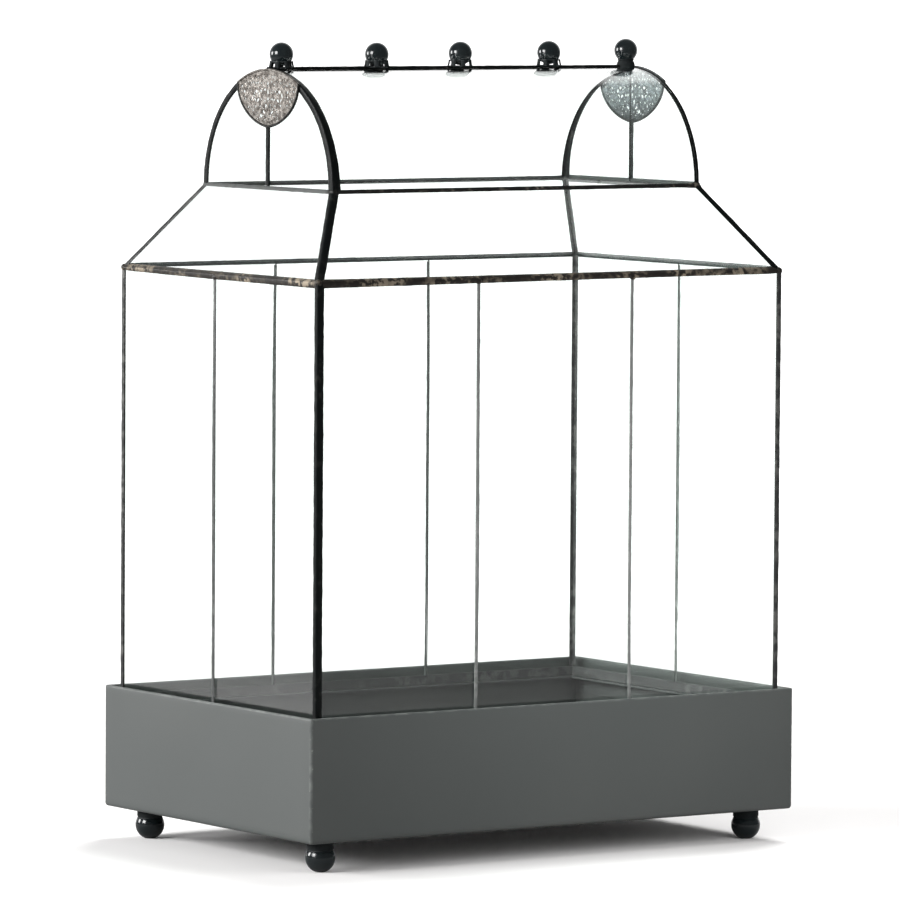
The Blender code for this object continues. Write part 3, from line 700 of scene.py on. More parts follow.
def eaveSection(fall, rise):
    thick, eaveZ = eaveStrip["thick"], house.eaveZ
    outer = [wallPoint(seat + thick * dome(s), eaveZ - fall * s) for s in (1, 0.8, 0.5, 0.2)]
    off = seat + thick
    for share in (0.2, 0.5, 0.8):
        endTurn, sideTurn = ((pi / 2 - lean) * share for lean in (house.endLean, house.sideLean))
        outer.append((off * cos(endTurn), off * cos(sideTurn), eaveZ + off * sin(sideTurn)))
    outer += [slopePoint(-rise * s, seat + thick * dome(s), eaveZ) for s in (0.5, 0.8, 1)]
    inner = [slopePoint(-rise, seat, eaveZ), wallPoint(seat, eaveZ + seat), wallPoint(seat, eaveZ - fall)]
    return skinned(outer, inner)


def shoulderSection(fall, rise):
    thick, topZ = shoulderStrip["thick"], house.shoulderZ
    outer = [slopePoint(fall * s, seat + thick * dome(s), topZ) for s in (1, 0.7, 0.3)]
    outer += [wallPoint(seat + thick * dome(s), topZ + rise * s) for s in (0.45, 0.75, 1)]
    inner = [wallPoint(seat, topZ + rise), wallPoint(seat, topZ + seat), slopePoint(fall, seat, topZ)]
    return skinned(outer, inner)


def levelStrip(node, halfX, halfY, z, section, strip, seed, moreBlobs=()):
    rings = []
    places = list(corners.values())
    marks, falls, rises = np.array(strip["keys"]).T
    for i, first in enumerate(places):
        last = places[(i + 1) % 4]
        length = abs(last[0] - first[0]) * halfX + abs(last[1] - first[1]) * halfY
        count = int(length / stripStep)
        for along in np.arange(count) / count:
            fall, rise = (np.interp(i + along, marks, reach) * mm for reach in (falls, rises))
            points, skin = section(fall, rise)
            a, b = (np.array([(sx * (halfX + dx), sy * (halfY + dy), h) for dx, dy, h in points])
                    for sx, sy in (first, last))
            rings.append(a + (b - a) * along)
    size, inset = strip["blob"]
    blobs = [((sx * (halfX - inset), sy * (halfY - inset), z), (size,) * 3) for sx, sy in places]
    mesh = loft(node + "Strip", rings, skin, closed=True)
    solderPiece(node, mesh, strip["finish"], seed, blobs + list(moreBlobs))


def makeLevelStrips():
    barBlobs = []
    for node, radii in eaveStrip["barBlobs"].items():
        middle = middleOf(node)
        barBlobs.append(((middle.x, middle.y, house.eaveZ - eaveStrip["barBlobDrop"]), radii))
    levelStrip("eave_frame", house.glassX, house.glassY, house.eaveZ, eaveSection, eaveStrip, 20, barBlobs)
    levelStrip("shoulder_frame", house.shoulderX, house.vaultRadius, house.shoulderZ, shoulderSection,
               shoulderStrip, 21)


# bars over the joints of the wall panes and the gables: width, thickness and bow in millimetres, and finish;
# bow is how far the middle wanders sideways, and wobble the share and the rate of a smaller sway
bars = {
    "front_bar_1": (2.4, 0.75, 0.5, "paleSolder"),
    "front_bar_2": (2.3, 0.75, -0.4, "paleSolder"),
    "rear_bar_1": (2.2, 0.7, 0.6, "paleSolder"),
    "rear_bar_2": (2.1, 0.7, -0.5, "paleSolder"),
    "left_bar_1": (2.8, 0.75, 0.5, "greySolder"),
    "right_bar_1": (2.2, 0.6, -0.5, "paleSolder"),
    "left_gable_bar": (4.1, 1.4, 0.1, "blackSolder"),
    "right_gable_bar": (4.2, 1.3, -0.1, "blackSolder"),
}
barRun = {"down": 0.3 * mm, "up": 1.0 * mm, "gableUp": 3.0 * mm, "wobble": (0.3, 9.0)}


def makeBars():
    swayShare, swayRate = barRun["wobble"]
    for seed, (node, (width, thick, bow, finish)) in enumerate(bars.items(), 30):
        low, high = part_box(node)
        middle = middleOf(node)
        axis = 0 if node.startswith(tuple(gables)) else 1
        face, up = (house.glassX, house.glassY)[axis], barRun["up"]
        if "gable" in node:
            face, up = house.shoulderX, barRun["gableUp"]
        side = copysign(1, middle[axis])
        points, skin = flatPoints(width * mm, thick * mm)
        heights = np.arange(low.z - barRun["down"], high.z + up, stripStep)
        rings = []
        for share, z in zip(np.linspace(0, 1, len(heights)), heights):
            sway = bow * mm * (sin(pi * share) + swayShare * sin(swayRate * share + seed))
            spots = [(side * (face + out), middle[1 - axis] + across + sway) for across, out in points]
            rings.append([(a, b, z) if axis == 0 else (b, a, z) for a, b in spots])
        solderPiece(node, loft("bar_" + node, rings, skin), finish, seed)


# strips bent over the ends of the vault: reach over the glass and down the face at the rear foot,
# the crown and the front foot, and the same for the bead inside, which ends at a turn in radians
archStrips = {
    "left": {"reach": ((3.3 * mm, 2.9 * mm, 5.4 * mm), (3.8 * mm, 3.0 * mm, 5.0 * mm)), "thick": 0.9 * mm},
    "right": {"reach": ((3.0 * mm, 1.4 * mm, 1.5 * mm), (3.6 * mm, 1.1 * mm, 0.7 * mm)), "thick": 0.5 * mm,
              "inside": ((3.1 * mm, 0.5 * mm, 0.2 * mm), (4.8 * mm, 0.6 * mm, 0.2 * mm)), "insideEnd": 1.6},
}
archDrop = 1.0 * mm
ridgeStrip = {
    "width": 3.2 * mm,
    "tall": (2.1 * mm, 1.5 * mm),
    "roundness": 2.6,
    "points": 11,
    "blob": (2.2 * mm, 2.6 * mm, 1.5 * mm),
    "blobPlace": (0.85 * mm, 0.6 * mm),    # in from the end of the glass, and up
}


def archLoft(side, turns, reach, thick=None):
    radius = house.vaultRadius
    rings = []
    for turn in turns:
        wrap, face = (np.interp(turn, (0, pi / 2, pi), leg) for leg in reach)
        points, skin = anglePoints(wrap, face, thick, thick) if thick else innerPoints(wrap, face)
        ring = []
        for a, b in points:
            y, z = polar(radius + b, turn)
            ring.append((gables[side] * (house.shoulderX + a), y, house.shoulderZ + z))
        rings.append(ring)
    return loft("arch_" + side, rings, skin)


def makeArches():
    radius = house.vaultRadius
    start = asin((house.archBase - house.shoulderZ - archDrop) / radius)
    turns = np.linspace(start, pi - start, int(pi * radius / stripStep))
    for seed, (side, strip) in enumerate(archStrips.items(), 50):
        lofts = [archLoft(side, turns, strip["reach"], strip["thick"])]
        if "inside" in strip:
            lofts.append(archLoft(side, turns[turns < strip["insideEnd"]], strip["inside"]))
        solderPiece(side + "_arch", joined(*lofts), "blackSolder", seed)


def makeRidge():
    low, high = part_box("ridge_bar")
    half, base = ridgeStrip["width"] / 2, house.crown + seat
    power = 2 / ridgeStrip["roundness"]
    rings = []
    for x, tall in zip((low.x, high.x), ridgeStrip["tall"]):
        ring = []
        for turn in np.linspace(0, pi, ridgeStrip["points"]):
            c, s = cos(turn), sin(turn)
            ring.append((x, half * copysign(abs(c) ** power, c), base + tall * abs(s) ** power))
        rings.append(ring)
    skin = [edgeSkin] + [1.0] * (ridgeStrip["points"] - 2) + [edgeSkin]
    inset, up = ridgeStrip["blobPlace"]
    along = house.shoulderX - inset
    blobs = [((side * along, 0, base + up), ridgeStrip["blob"]) for side in gables.values()]
    solderPiece("ridge_bar", loft("ridgeBar", between(*rings, stripStep), skin), "blackSolder", 60, blobs)


makePosts()
makeHips()
makeLevelStrips()
makeBars()
makeArches()
makeRidge()
print("solder strips done")


# bent panes of the vault, round where the CAD is faceted
bentPane = {"steps": 90}


def makeBentPanes():
    outer = house.vaultRadius
    for side, way in (("front", -1), ("rear", 1)):
        node = side + "_vault_pane"
        section = []
        for radius, order in ((outer, 1), (outer - glassThick, -1)):
            turns = np.linspace(asin(halfGap / radius), acos(halfGap / radius), bentPane["steps"])
            arc = [(way * radius * cos(t), house.shoulderZ + radius * sin(t)) for t in turns]
            section += arc[::order]
        rings = [[(corner.x, y, z) for y, z in section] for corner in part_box(node)]
        piece = newObject("bentPane_" + side, loft("bentPane_" + side, rings, smooth=40))
        dressPiece(piece, finishes["glass"], "glass_house", "clear_glass", node)


makeBentPanes()
print("bent panes done")


# ball feet with a collar that steps in at both ends
footBall = {
    "ball": 18.6 * mm,
    "pad": 6.0 * mm,
    "collar": 8.2 * mm,
    "step": 0.35 * mm,
    "sink": 0.25 * mm,
    "steps": 56,
    "arcSteps": 36,
}


def makeFeet():
    radius, collar, step = footBall["ball"] / 2, footBall["collar"], footBall["step"]
    centreZ = sqrt(radius ** 2 - (footBall["pad"] / 2) ** 2)
    neck = degrees(acos((collar - step) / radius))
    padTurn = -degrees(asin(centreZ / radius))
    for name in corners:
        node = "ball_foot_" + name
        middle = middleOf(node)
        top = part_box(node)[1].z + footBall["sink"]
        profile = ballArc(radius, centreZ, padTurn, neck, footBall["arcSteps"])
        neckZ = profile[-1][1]
        profile += [(collar - step, neckZ + step), (collar, neckZ + 2 * step)]
        profile += [(collar, top - step), (collar - step, top)]
        mesh = lathe("footBall_" + name, profile, footBall["steps"], middle, smooth=40)
        dressPiece(newObject("footBall_" + name, mesh), finishes["gloss"], "stand", "foot_black", node)


makeFeet()
print("feet done")


# finials: a ball in an openwork cap of bent leaves that stands on the ridge; the last has a solid collar;
# leafPath and collar are (radius, height) in millimetres, rings are (radius, height, thickness)
finialCap = {
    "ball": 15.1 * mm,
    "pole": 0.05 * mm,
    "steps": 56,
    "arcSteps": 40,
    "base": 1.6 * mm,
    "lift": (8.3 * mm, 7.8 * mm, 8.1 * mm, 8.2 * mm, 9.3 * mm),
    "turns": (8, 31, -6, 12, 22),
    "leaves": 7,
    "leafPath": ((5.7, 3.9), (5.8, 2.9), (5.95, 2.0), (6.1, 1.2), (6.3, 0.5), (6.45, -0.3)),
    "leafTop": 3.6 * mm,
    "leafFoot": 3.4 * mm,
    "leafWaist": 0.17,
    "leafThick": 0.75 * mm,
    "rings": ((5.9 * mm, 3.6 * mm, 0.75 * mm), (6.5 * mm, -0.2 * mm, 0.5 * mm)),
    "collar": ((0.1, 4.2), (4.6, 4.2), (5.3, 3.3), (4.9, 2.5), (5.5, 1.5), (5.9, 0.2), (5.8, -1.2),
               (5.2, -2.9), (3.9, -4.4), (0.1, -5.0)),
    "collarSteps": 40,
}


def leafMesh():
    # one leaf of the cap, bent from the neck out to the foot: (out, across, up) as shares of its sizes
    outline = ((0, -1, 0), (0.7, -0.8, 0.3), (1, 0, 0.5), (0.7, 0.8, 0.3), (0, 1, 0), (-0.4, 0, 0))
    thick = finialCap["leafThick"]
    last = len(finialCap["leafPath"]) - 1
    rings = []
    for k, (r, z) in enumerate(finialCap["leafPath"]):
        share = k / last
        half = (finialCap["leafTop"] * (1 - share) + finialCap["leafFoot"] * share) / 2
        half *= 1 - finialCap["leafWaist"] * sin(pi * share)
        rings.append([(r * mm + thick * out, half * side, z * mm + thick * up) for out, side, up in outline])
    return loft("capLeaf", rings, smooth=50)


def leafTree(leaf):
    tree, ins = nodeTree("leafCap", {"Leaves": "Int", "Material": "Material"})
    circle = nodeOut(tree, "GeometryNodeMeshCircle", {"Vertices": ins["Leaves"], "Radius": 1 * mm})
    index = nodeOut(tree, "GeometryNodeInputIndex")
    turn = calc(tree, "DIVIDE", times(tree, index, 2 * pi), ins["Leaves"])
    axis = nodeOut(tree, "ShaderNodeCombineXYZ", {"Z": turn})
    shape = addNode(tree, "GeometryNodeObjectInfo", {"Object": leaf}).outputs["Geometry"]
    centred = nodeOut(tree, "GeometryNodeSetPosition", {"Geometry": circle, "Position": (0, 0, 0)})
    spread = nodeOut(tree, "GeometryNodeInstanceOnPoints",
                     {"Points": centred, "Instance": shape, "Rotation": axis})
    return closeTree(tree, [ins["Geometry"], spread], ins["Material"])


def torus(major, z, minor, steps=48, sides=10):
    verts = []
    for t in fullTurn(steps):
        for a in fullTurn(sides):
            out, up = polar(minor, a)
            verts.append((*polar(major + out, t), z + up))
    return meshFrom("capRing", verts, ringFaces(steps, sides, closed=True), 50)


def makeFinials():
    leaf = newObject("capLeaf", leafMesh())
    tree = leafTree(leaf)
    radius = finialCap["ball"] / 2
    count = len(finialCap["lift"])
    for k, (turn, lift) in enumerate(zip(finialCap["turns"], finialCap["lift"]), 1):
        node = f"finial_{k}"
        profile = [(finialCap["pole"], lift - radius)]
        profile += ballArc(radius, lift, -89, 89, finialCap["arcSteps"])
        mesh = lathe("ballFinial", profile, finialCap["steps"], smooth=50)
        if k == count:
            collar = [(r * mm, z * mm) for r, z in finialCap["collar"]]
            joined(mesh, lathe("collar", collar, finialCap["collarSteps"], smooth=50))
        else:
            joined(mesh, *[torus(*ring) for ring in finialCap["rings"]])
        piece = newObject(f"ballFinial_{k}", mesh)
        if k < count:
            values = {"Leaves": finialCap["leaves"], "Material": finishes["gloss"]}
            useTree(piece, tree, values, smooth=50)
        middle = middleOf(node)
        place = Matrix.Translation((middle.x, middle.y, house.crown + finialCap["base"]))
        piece.data.transform(place @ Matrix.Rotation(radians(turn), 4, "Z"))
        dressPiece(piece, finishes["gloss"], "glass_house", "finial_black", node)
    bpy.data.objects.remove(leaf, do_unlink=True)


makeFinials()
print("finials done")


# filigree over the arch: a pierced sheet with scroll wires and grains on it, drawn flat in millimetres
# with (0, 0) at the middle of the shoulder; widths are shares of the wire, turns are (start, stop, step)
filigree = {
    "halfWidth": 35.5,
    "depth": 28.0,
    "fullness": (2.05, 0.62),
    "sideInset": 1.1,             # share of an inset at the sides and the tip
    "overhang": 0.9,
    "shift": {"left": -1.2 * mm, "right": 0.6 * mm},
    "standOff": 1.4 * mm,
    "sheet": 0.4 * mm,
    "sheetInset": 0.6,
    "recessTarnishAndShade": 0.55,               # how black the sheet is behind the wires: tarnish in the hollows, and painted shade for the recess
    "wire": 0.7 * mm,
    "rim": {"inset": 0.7, "width": 2.5, "black": (0.45, 1.0)},
    "innerLine": {"inset": 2.2, "width": 0.7, "black": 0.3},
    "grain": 0.55 * mm,
    "grainInset": 1.0,
    "grainLine": {"inset": 3.3, "pitch": 1.7},
    "scroll": (2.1, 1.4, 0.8),    # radius, turns and how far it winds in
    "scrollPoints": 22,
    "scrollPitch": (5.4, 4.7),
    "scrollRows": (6.4, 8, 8),    # first height over the tip, rows, columns each way
    "scrollTurns": (70, 40),      # degrees from row to row and from column to column
    "scrollInset": 4.2,
    "scrollWidths": (0.85, 1.0, 0.92, 1.1),
    "rosettes": ((13.2, 19.5), (-13.2, 19.5)),
    "rosetteClear": 4.6,
    "rosetteWires": ((1.3, 0.9), (4.3, 1.1)),
    "rosettePoints": 28,
    "rosetteHoles": {"radius": 3.1, "size": (1.5, 1.1), "turns": (18, 360, 72)},
    "palmette": {"radius": 6.9, "rise": 6.0, "size": (2.5, 1.25), "turns": (10, 171, 32)},
    "column": {"rises": (17.5, 22.3, 27.1), "size": (1.9, 0.95)},
    "scatter": {"rows": (3.5, 36, 2.2), "columns": (-36, 36.1, 2.5), "narrow": 0.75,
                "from": (-1.2, -1.1, 0.55, 0), "to": (1.2, 1.1, 1.3, pi)},
    "holeInset": 2.3,
    "bridge": 0.5,
    "seed": 5,
}


def plateShape(inset):
    # radius of the top, half the width at the corners, height of the corners, height of the tip
    outer = house.vaultRadius / mm + filigree["overhang"]
    tip = sqrt(outer ** 2 - filigree["halfWidth"] ** 2) - filigree["depth"]
    sideInset = filigree["sideInset"] * inset
    radius, half = outer - inset, filigree["halfWidth"] - sideInset
    return radius, half, sqrt(radius ** 2 - half ** 2), tip + sideInset


def plateWidth(half, fall):
    power, roundness = filigree["fullness"]
    return half * (1 - min(fall, 1.0) ** power) ** roundness


def plateEdge(inset, count=160):
    # the arch above, full sides down to a blunt tip below
    radius, half, cornerZ, tipZ = plateShape(inset)
    turn = asin(half / radius)
    points = [(radius * sin(a), radius * cos(a)) for a in np.linspace(turn, -turn, count // 2)]
    for share in np.linspace(-1, 1, count // 2)[1:-1]:
        fall = cos(share * pi / 2)
        points.append((copysign(plateWidth(half, fall), share), cornerZ + (tipZ - cornerZ) * fall))
    return points


def insidePlate(y, z, inset):
    radius, half, cornerZ, tipZ = plateShape(inset)
    fall = max(0.0, (cornerZ - z) / (cornerZ - tipZ))
    return hypot(y, z) < radius and fall < 1 and abs(y) < plateWidth(half, fall)


def evenly(points, pitch):
    loop = np.array(points + points[:1])
    reach = np.concatenate(([0], np.cumsum(np.linalg.norm(np.diff(loop, axis=0), axis=1))))
    marks = np.linspace(0, reach[-1], int(reach[-1] / pitch), endpoint=False)
    return [(np.interp(m, reach, loop[:, 0]), np.interp(m, reach, loop[:, 1])) for m in marks]


def scrollLine(y, z, start, side):
    radius, turns, wind = filigree["scroll"]
    line = []
    for share in np.linspace(0, 1, filigree["scrollPoints"]):
        angle = radians(start) + 2 * pi * turns * share
        out, up = polar(radius * (1 - wind * share), angle)
        line.append((y + side * out, z + up))
    return line


def ovalLoop(y, z, long, wide, turn, count=12):
    c, s = cos(turn), sin(turn)
    loop = []
    for a in fullTurn(count):
        along, across = long * cos(a), wide * sin(a)
        loop.append((y + along * c - across * s, z + along * s + across * c))
    return loop


# a palmette over the tip, rings round the rosettes, a column in the middle, small ones in between
def piercings(tip):
    fan, column, ring, scatter = (filigree[key] for key in ("palmette", "column", "rosetteHoles", "scatter"))
    wanted = []
    for t in np.radians(np.arange(*fan["turns"])):
        out, up = polar(fan["radius"], t)
        wanted.append((out, fan["rise"] + up, *fan["size"], t))
    wanted += [(0, h, *column["size"], pi / 2) for h in column["rises"]]
    for y, h in filigree["rosettes"]:
        for t in np.radians(np.arange(*ring["turns"])):
            out, up = polar(ring["radius"], t)
            wanted.append((y + out, h + up, *ring["size"], t + pi / 2))
    chance = np.random.default_rng(filigree["seed"])
    for h in np.arange(*scatter["rows"]):
        for y in np.arange(*scatter["columns"]):
            off, lift, size, turn = chance.uniform(scatter["from"], scatter["to"])
            wanted.append((y + off, h + lift, size, scatter["narrow"] * size, turn))
    loops, taken = [], np.full((1, 2), 999.0)
    for y, h, long, wide, turn in wanted:
        loop = np.array(ovalLoop(y, tip + h, long, wide, turn))
        nearest = np.linalg.norm(loop[:, None] - taken[None], axis=2).min()
        if nearest > filigree["bridge"] and all(insidePlate(a, b, filigree["holeInset"]) for a, b in loop):
            loops.append(loop)
            taken = np.vstack((taken, loop))
    return loops


def sheetMesh(loops):
    points, edges = [], []
    for loop in loops:
        first, count = len(points), len(loop)
        points += [Vector(point) for point in loop]
        edges += [(first + i, first + (i + 1) % count) for i in range(count)]
    owner = [k for k, loop in enumerate(loops) for point in loop]
    points, edges, flat = delaunay_2d_cdt(points, edges, [], 1, 1e-5)[:3]
    flat = [face for face in flat if owner[face[0]] == 0 or len({owner[i] for i in face}) > 1]
    count, half = len(points), filigree["sheet"] / 2
    verts = [(y * mm, z * mm, side * half) for side in (-1, 1) for y, z in points]
    ways = {(face[i - 1], face[i]) for face in flat for i in range(len(face))}
    faces = [face[::-1] for face in flat] + [[i + count for i in face] for face in flat]
    faces += [(a, b, b + count, a + count) for a, b in sorted(ways) if (b, a) not in ways]
    mesh = meshFrom("piercedSheet", verts, faces)
    # the sheet behind the wires is darkened: tarnish, and painted shade for the recess under the wires
    setPoints(mesh, "rim", [filigree["recessTarnishAndShade"]] * len(verts))
    return mesh


# wires as (points, share of the wire's width, share of black at each point, closed), and the grains
def filigreeDrawing(tip):
    rim, inner, grainLine = (filigree[key] for key in ("rim", "innerLine", "grainLine"))
    lines = []

    def addLine(points, width, closed, black=0.0):
        lines.append((points, width, black if isinstance(black, list) else [black] * len(points), closed))

    edge, cornerZ = plateEdge(rim["inset"]), plateShape(0)[2]
    addLine(edge, rim["width"], True, [rim["black"][z <= cornerZ] for y, z in edge])
    addLine(plateEdge(inner["inset"]), inner["width"], True, inner["black"])
    grains = evenly(plateEdge(grainLine["inset"]), grainLine["pitch"])
    across, up = filigree["scrollPitch"]
    first, rows, columns = filigree["scrollRows"]
    rowTurn, columnTurn = filigree["scrollTurns"]
    widths = filigree["scrollWidths"]
    for row in range(rows):
        z = tip + first + row * up
        for column in range(-columns, columns + 1):
            y = (column + row % 2 / 2) * across
            away = min(hypot(y - ry, z - tip - rz) for ry, rz in filigree["rosettes"])
            if away < filigree["rosetteClear"] or not insidePlate(y, z, filigree["scrollInset"]):
                continue
            start = rowTurn * row + columnTurn * abs(column)
            width = widths[(row + abs(column)) % len(widths)]
            addLine(scrollLine(y, z, start, -1 if y < 0 else 1), width, False)
            grains.append((y + across / 2, z))
    for y, h in filigree["rosettes"]:
        for radius, width in filigree["rosetteWires"]:
            addLine(ovalLoop(y, tip + h, radius, radius, 0, filigree["rosettePoints"]), width, True)
        grains.append((y, tip + h))
    return lines, [grain for grain in grains if insidePlate(*grain, filigree["grainInset"])]


def wireTree():
    tree, ins = nodeTree("filigreeWire", {"Wire": "Float", "Grain Radius": "Float", "Material": "Material"})
    inputs = {0: pointValue(tree, "grainPoint"), 1: 0.5}
    isGrain = nodeOut(tree, "FunctionNodeCompare", inputs, operation="GREATER_THAN")
    split = addNode(tree, "GeometryNodeSeparateGeometry",
                    {"Geometry": ins["Geometry"], "Selection": isGrain}, domain="POINT").outputs
    lines = nodeOut(tree, "GeometryNodeMeshToCurve", {"Mesh": split["Inverted"]})
    inputs = {"Resolution": 8, "Radius": calc(tree, "DIVIDE", ins["Wire"], 2.0)}
    section = nodeOut(tree, "GeometryNodeCurvePrimitiveCircle", inputs, mode="RADIUS")
    inputs = {"Curve": lines, "Profile Curve": section, "Scale": pointValue(tree, "wide"), "Fill Caps": True}
    wires = nodeOut(tree, "GeometryNodeCurveToMesh", inputs)
    ball = nodeOut(tree, "GeometryNodeMeshIcoSphere", {"Radius": ins["Grain Radius"], "Subdivisions": 2})
    grains = nodeOut(tree, "GeometryNodeInstanceOnPoints", {"Points": split["Selection"], "Instance": ball})
    return closeTree(tree, [wires, grains], ins["Material"])


def makeFiligrees():
    tree = wireTree()
    tip = plateShape(0)[3]
    lines, grains = filigreeDrawing(tip)
    sheet = sheetMesh([plateEdge(filigree["sheetInset"])] + piercings(tip))
    verts, edges, widths, blacks = [], [], [], []
    for points, width, black, closed in lines:
        first = len(verts)
        verts += [(y * mm, z * mm, 0) for y, z in points]
        widths += [width] * len(points)
        blacks += black
        edges += [(i, i + 1) for i in range(first, len(verts) - 1)]
        if closed:
            edges.append((len(verts) - 1, first))
    kinds = [0.0] * len(verts) + [1.0] * len(grains)
    verts += [(y * mm, z * mm, 0) for y, z in grains]
    widths += [1.0] * len(grains)
    blacks += [0.0] * len(grains)
    for side, end in gables.items():
        mesh = bpy.data.meshes.new("filigree_" + side)
        mesh.from_pydata(verts, edges, [])
        for name, values in (("grainPoint", kinds), ("wide", widths), ("rim", blacks)):
            setPoints(mesh, name, values)
        piece = newObject("filigreePlate_" + side, mesh)
        material = finishes[side + "Silver"]
        values = {"Wire": filigree["wire"], "Grain Radius": filigree["grain"], "Material": material}
        useTree(piece, tree, values, smooth=60)
        joined(piece.data, sheet)
        turn = Matrix(((0, 0, end), (end, 0, 0), (0, 1, 0))).to_4x4()
        x = end * (house.shoulderX + filigree["standOff"])
        piece.data.transform(Matrix.Translation((x, filigree["shift"][side], house.shoulderZ)) @ turn)
        dressPiece(piece, material, "glass_house", "filigree_silver", side + "_filigree")


makeFiligrees()
print("filigree done")


# tray: folded sheet with a rolled hem, faint waves and a few small dents (x, z, depth)
trayShell = {
    "sheet": 1.2 * mm,
    "corner": 1.8 * mm,
    "innerCorner": 0.3 * mm,
    "fold": 2.4 * mm,
    "innerFold": 0.4 * mm,
    "hem": 7.0 * mm,
    "wave": 0.05 * mm,
    "waveStart": 1.3,
    "waveRates": (23, 29, 9),     # radians per metre along x, y and z
    "ripple": (0.6, 2.3),         # share of the wave, and how much quicker it is
    "dents": ((-150 * mm, 87 * mm, 0.10 * mm), (-35 * mm, 90 * mm, 0.10 * mm),
              (105 * mm, 60 * mm, 0.12 * mm)),
    "dentSize": 4 * mm,
    "hole": 2.3 * mm,
    "holeReach": 2.0 * mm,
    "holeSteps": 24,
    "levels": (26, 18),           # loops up the outside and down the inside
    "sidePoints": (44, 28),
    "cornerPoints": 7,
}


def trayLoop(halfX, halfY, radius, z):
    # one closed loop of points with the same layout at every height, and how free the sheet is at each
    places = [Vector((sx * (halfX - radius), sy * (halfY - radius), z)) for sx, sy in corners.values()]

    def onCorner(k, share):
        return Vector((*polar(radius, pi + pi / 2 * (k + share)), 0))

    loop = []
    last = trayShell["cornerPoints"] - 1
    for k, middle in enumerate(places):
        loop += [(middle + onCorner(k, i / last), 0.0) for i in range(last + 1)]
        start, stop = loop[-1][0], places[(k + 1) % 4] + onCorner(k, 1)
        count = trayShell["sidePoints"][k % 2]
        for i in range(1, count):
            loop.append((start.lerp(stop, i / count), sin(pi * i / count)))
    return loop


def panelWave(point, free, low, high, front):
    # how far the sheet stands in or out here; the dents are in the front
    up = (point.z - low) / (high - low)
    hold = free * sin(pi * min(max(up, 0), 1))
    rateX, rateY, rateZ = trayShell["waveRates"]
    share, quicker = trayShell["ripple"]
    along = point.x * rateX + point.y * rateY
    ripple = share * sin(quicker * along + rateZ * point.z)
    push = trayShell["wave"] * hold * (sin(along + trayShell["waveStart"]) + ripple)
    if front:
        for x, z, depth in trayShell["dents"]:
            away = ((point.x - x) ** 2 + (point.z - z) ** 2) / trayShell["dentSize"] ** 2
            push -= depth * exp(-away)
    return push


def trayLevels(low, high):
    # inset and height of each loop: up the outside, over the rim, under the hem and down to the floor
    sheet, fold, bend = trayShell["sheet"], trayShell["fold"], trayShell["innerFold"]
    rim, hemBase, floor = high - sheet, high - trayShell["hem"], low + sheet
    outside, inside = trayShell["levels"]
    levels = []
    for a in np.radians((0, 22, 45, 67, 90)):
        levels.append((fold * (1 - sin(a)), low + fold * (1 - cos(a))))
    levels += [(0.0, z) for z in np.linspace(low + fold, rim, outside)[1:]]
    for a in np.radians(np.arange(15, 181, 15)):
        levels.append((sheet * (1 - cos(a)), rim + sheet * sin(a)))
    levels += [(2 * sheet, hemBase + bend), (1.8 * sheet, hemBase), (sheet + bend / 4, hemBase)]
    levels += [(sheet, z) for z in np.linspace(hemBase, floor + bend, inside)]
    return levels + [(sheet + 0.3 * bend, floor + 0.3 * bend), (sheet + bend, floor)]


def makeTray():
    low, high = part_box("tray")
    hemBase = high.z - trayShell["hem"]
    rings = []
    for inset, z in trayLevels(low.z, high.z):
        radius = max(trayShell["corner"] - inset, trayShell["innerCorner"])
        ring = []
        for point, free in trayLoop(high.x - inset, high.y - inset, radius, z):
            axis = 0 if abs(point.x) / high.x > abs(point.y) / high.y else 1
            front = axis == 1 and point.y < 0
            push = panelWave(point, free, low.z, hemBase, front)
            point[axis] += copysign(1, point[axis]) * push
            ring.append(point)
        rings.append(ring)
    piece = newObject("sheetTray", loft("sheetTray", rings, smooth=40))
    reach, steps = trayShell["holeReach"], trayShell["holeSteps"]
    ends = (low.z - reach, low.z + trayShell["sheet"] + reach)
    profile = [(trayShell["hole"], z) for z in ends]
    holes = [lathe("screwHoles", profile, steps, middleOf("foot_screw_" + name)) for name in corners]
    tool = newObject("screwHoles", joined(*holes))
    cut = piece.modifiers.new("screwHoles", "BOOLEAN")
    cut.operation = "DIFFERENCE"
    cut.solver = "EXACT"
    cut.object = tool
    bakeModifiers(piece, smooth=40)
    bpy.data.objects.remove(tool, do_unlink=True)
    dressPiece(piece, finishes["paint"], "stand", "tray_paint", "tray")


makeTray()
print("tray done")


# CAD nodes that stay take a finish of their own, and paint where none is named
nodeFinishes = {"pane": "glass", "foot_screw": "zinc", "base_channel": "greySolder"}


def dressNodes():
    for name, node in cadNodes.items():
        if node.hide_render:
            continue
        finish = next((nodeFinishes[word] for word in nodeFinishes if word in name), "paint")
        node.data.materials.clear()
        node.data.materials.append(finishes[finish])


dressNodes()
print("CAD nodes dressed")


# pale floor, soft studio light and the camera
studio = {
    "floor": ((0.97, 0.957, 0.952, 1), (0.98, 0.97, 0.967, 1)),
    "floorPatch": (0.4, 71.0, 0.3, 0.7),
    "floorBounce": (0.360, 0.355, 0.354, 1),
    "floorPoints": 96,
    "floorRoughness": 0.85,
    "floorSpecular": 0.2,
    "fade": (0.8, 1.8),
    "backdrop": 1.6,
    "surround": (0.16, 1.3),      # strength all round, and where the backdrop is mirrored
    "behind": (0.56, 0.825, -0.07),
    "behindEdge": (0.5, 0.75),
    "aim": (0, 0, 0.2),
    # place, size, power, seen in reflections
    "lights": {
        "key": ((-2.38, -0.15, 1.05), 1.0, 68, True),
        "leftRear": ((-1.9, 1.74, 0.77), 0.8, 34, True),
        "right": ((0.08, -0.40, 0.20), 0.25, 0.9, False),
        "front": ((-1.6, -1.3, 2.1), 0.6, 3, False),
        "top": ((1.5, 1.1, 2.5), 1.4, 82, False),
    },
}
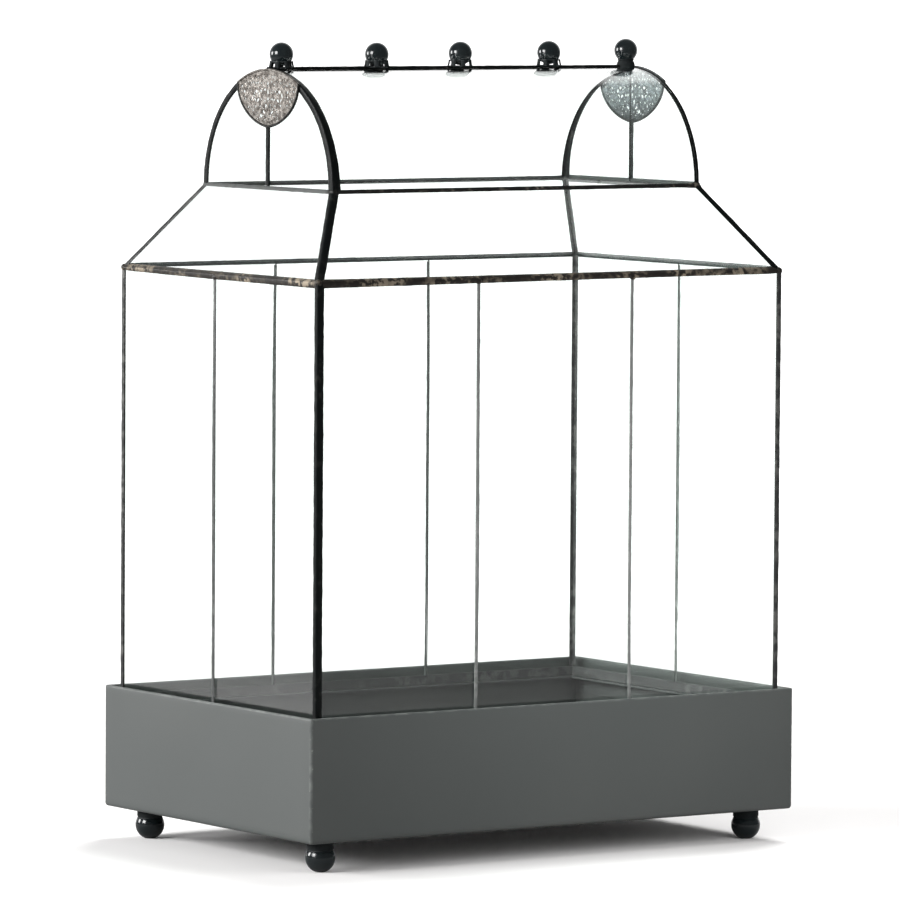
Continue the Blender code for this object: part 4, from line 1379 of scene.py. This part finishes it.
shot = {"place": (-2.7298, -4.0148, 0.6006), "yaw": 34.2069, "pitch": 4.1332, "roll": 0.3791, "lens": 304.40}


def makeFloor():
    reach = studio["fade"][1]
    verts = [(*polar(reach, t), 0) for t in fullTurn(studio["floorPoints"])]
    floor = newObject("floor", meshFrom("floor", verts, [range(len(verts))]))
    made, tree, shader = newMaterial("paleFloor")
    path = addNode(tree, "ShaderNodeLightPath").outputs
    seen = calc(tree, "MAXIMUM", path["Is Camera Ray"], path["Is Transmission Ray"])
    pale = mixColour(tree, patches(tree, *studio["floorPatch"]), *studio["floor"])
    colour = mixColour(tree, seen, studio["floorBounce"], pale)
    feed(tree, shader, {"Base Color": colour, "Roughness": studio["floorRoughness"],
                        "Specular IOR Level": studio["floorSpecular"]})
    # the floor fades into the backdrop
    x, y = objectPlace(tree)[:2]
    away = calc(tree, "SQRT", calc(tree, "ADD", times(tree, x, x), times(tree, y, y)))
    letThrough(tree, shader, ramp(tree, away, *studio["fade"]))
    floor.data.materials.append(made)


def makeLights():
    for name, (place, size, power, mirrored) in studio["lights"].items():
        lamp = bpy.data.lights.new(name + "Light", "AREA")
        lamp.size = size
        lamp.energy = power
        holder = newObject(name + "Light", lamp)
        holder.location = place
        aim = Vector(studio["aim"]) - Vector(place)
        holder.rotation_euler = aim.to_track_quat("-Z", "Y").to_euler()
        holder.visible_camera = False
        holder.visible_transmission = False
        holder.visible_glossy = mirrored


def makeWorld():
    world = bpy.data.worlds.new("studio")
    bpy.context.scene.world = world
    world.use_nodes = True
    tree = world.node_tree
    tree.nodes.clear()
    path = addNode(tree, "ShaderNodeLightPath").outputs
    direct = calc(tree, "SUBTRACT", 1.0, path["Diffuse Depth"], clamp=True)
    glossy = calc(tree, "MINIMUM", path["Glossy Depth"], 1.0)
    straight = times(tree, direct, calc(tree, "SUBTRACT", 1.0, glossy))
    # mirrored, only the backdrop behind the case is white
    heading = addNode(tree, "ShaderNodeTexCoord").outputs["Generated"]
    facing = addNode(tree, "ShaderNodeVectorMath", {0: heading, 1: studio["behind"]}, operation="DOT_PRODUCT")
    lobe = ramp(tree, facing.outputs["Value"], *studio["behindEdge"])
    mirrored = times(tree, times(tree, glossy, direct), lobe)
    strength = span(tree, mirrored, studio["surround"])
    strength = calc(tree, "MAXIMUM", strength, times(tree, straight, studio["backdrop"]))
    glow = nodeOut(tree, "ShaderNodeBackground", {"Color": (1, 1, 1, 1), "Strength": strength})
    addNode(tree, "ShaderNodeOutputWorld", {0: glow})


def makeCamera():
    yaw, pitch, roll = (radians(shot[key]) for key in ("yaw", "pitch", "roll"))
    ahead = Vector((sin(yaw) * cos(pitch), cos(yaw) * cos(pitch), -sin(pitch)))
    right = Vector((cos(yaw), -sin(yaw), 0))
    up = right.cross(ahead)
    tiltedRight = right * cos(roll) + up * sin(roll)
    tiltedUp = up * cos(roll) - right * sin(roll)
    lens = bpy.data.cameras.new("photoCamera")
    lens.sensor_width = 36
    lens.lens = shot["lens"]
    lens.clip_end = 100
    camera = newObject("photoCamera", lens)
    turn = Matrix((tiltedRight, tiltedUp, -ahead)).transposed().to_4x4()
    camera.matrix_world = Matrix.Translation(shot["place"]) @ turn
    bpy.context.scene.camera = camera


makeFloor()
makeLights()
makeWorld()
makeCamera()
bpy.context.scene.view_settings.view_transform = "Standard"
print("studio done")
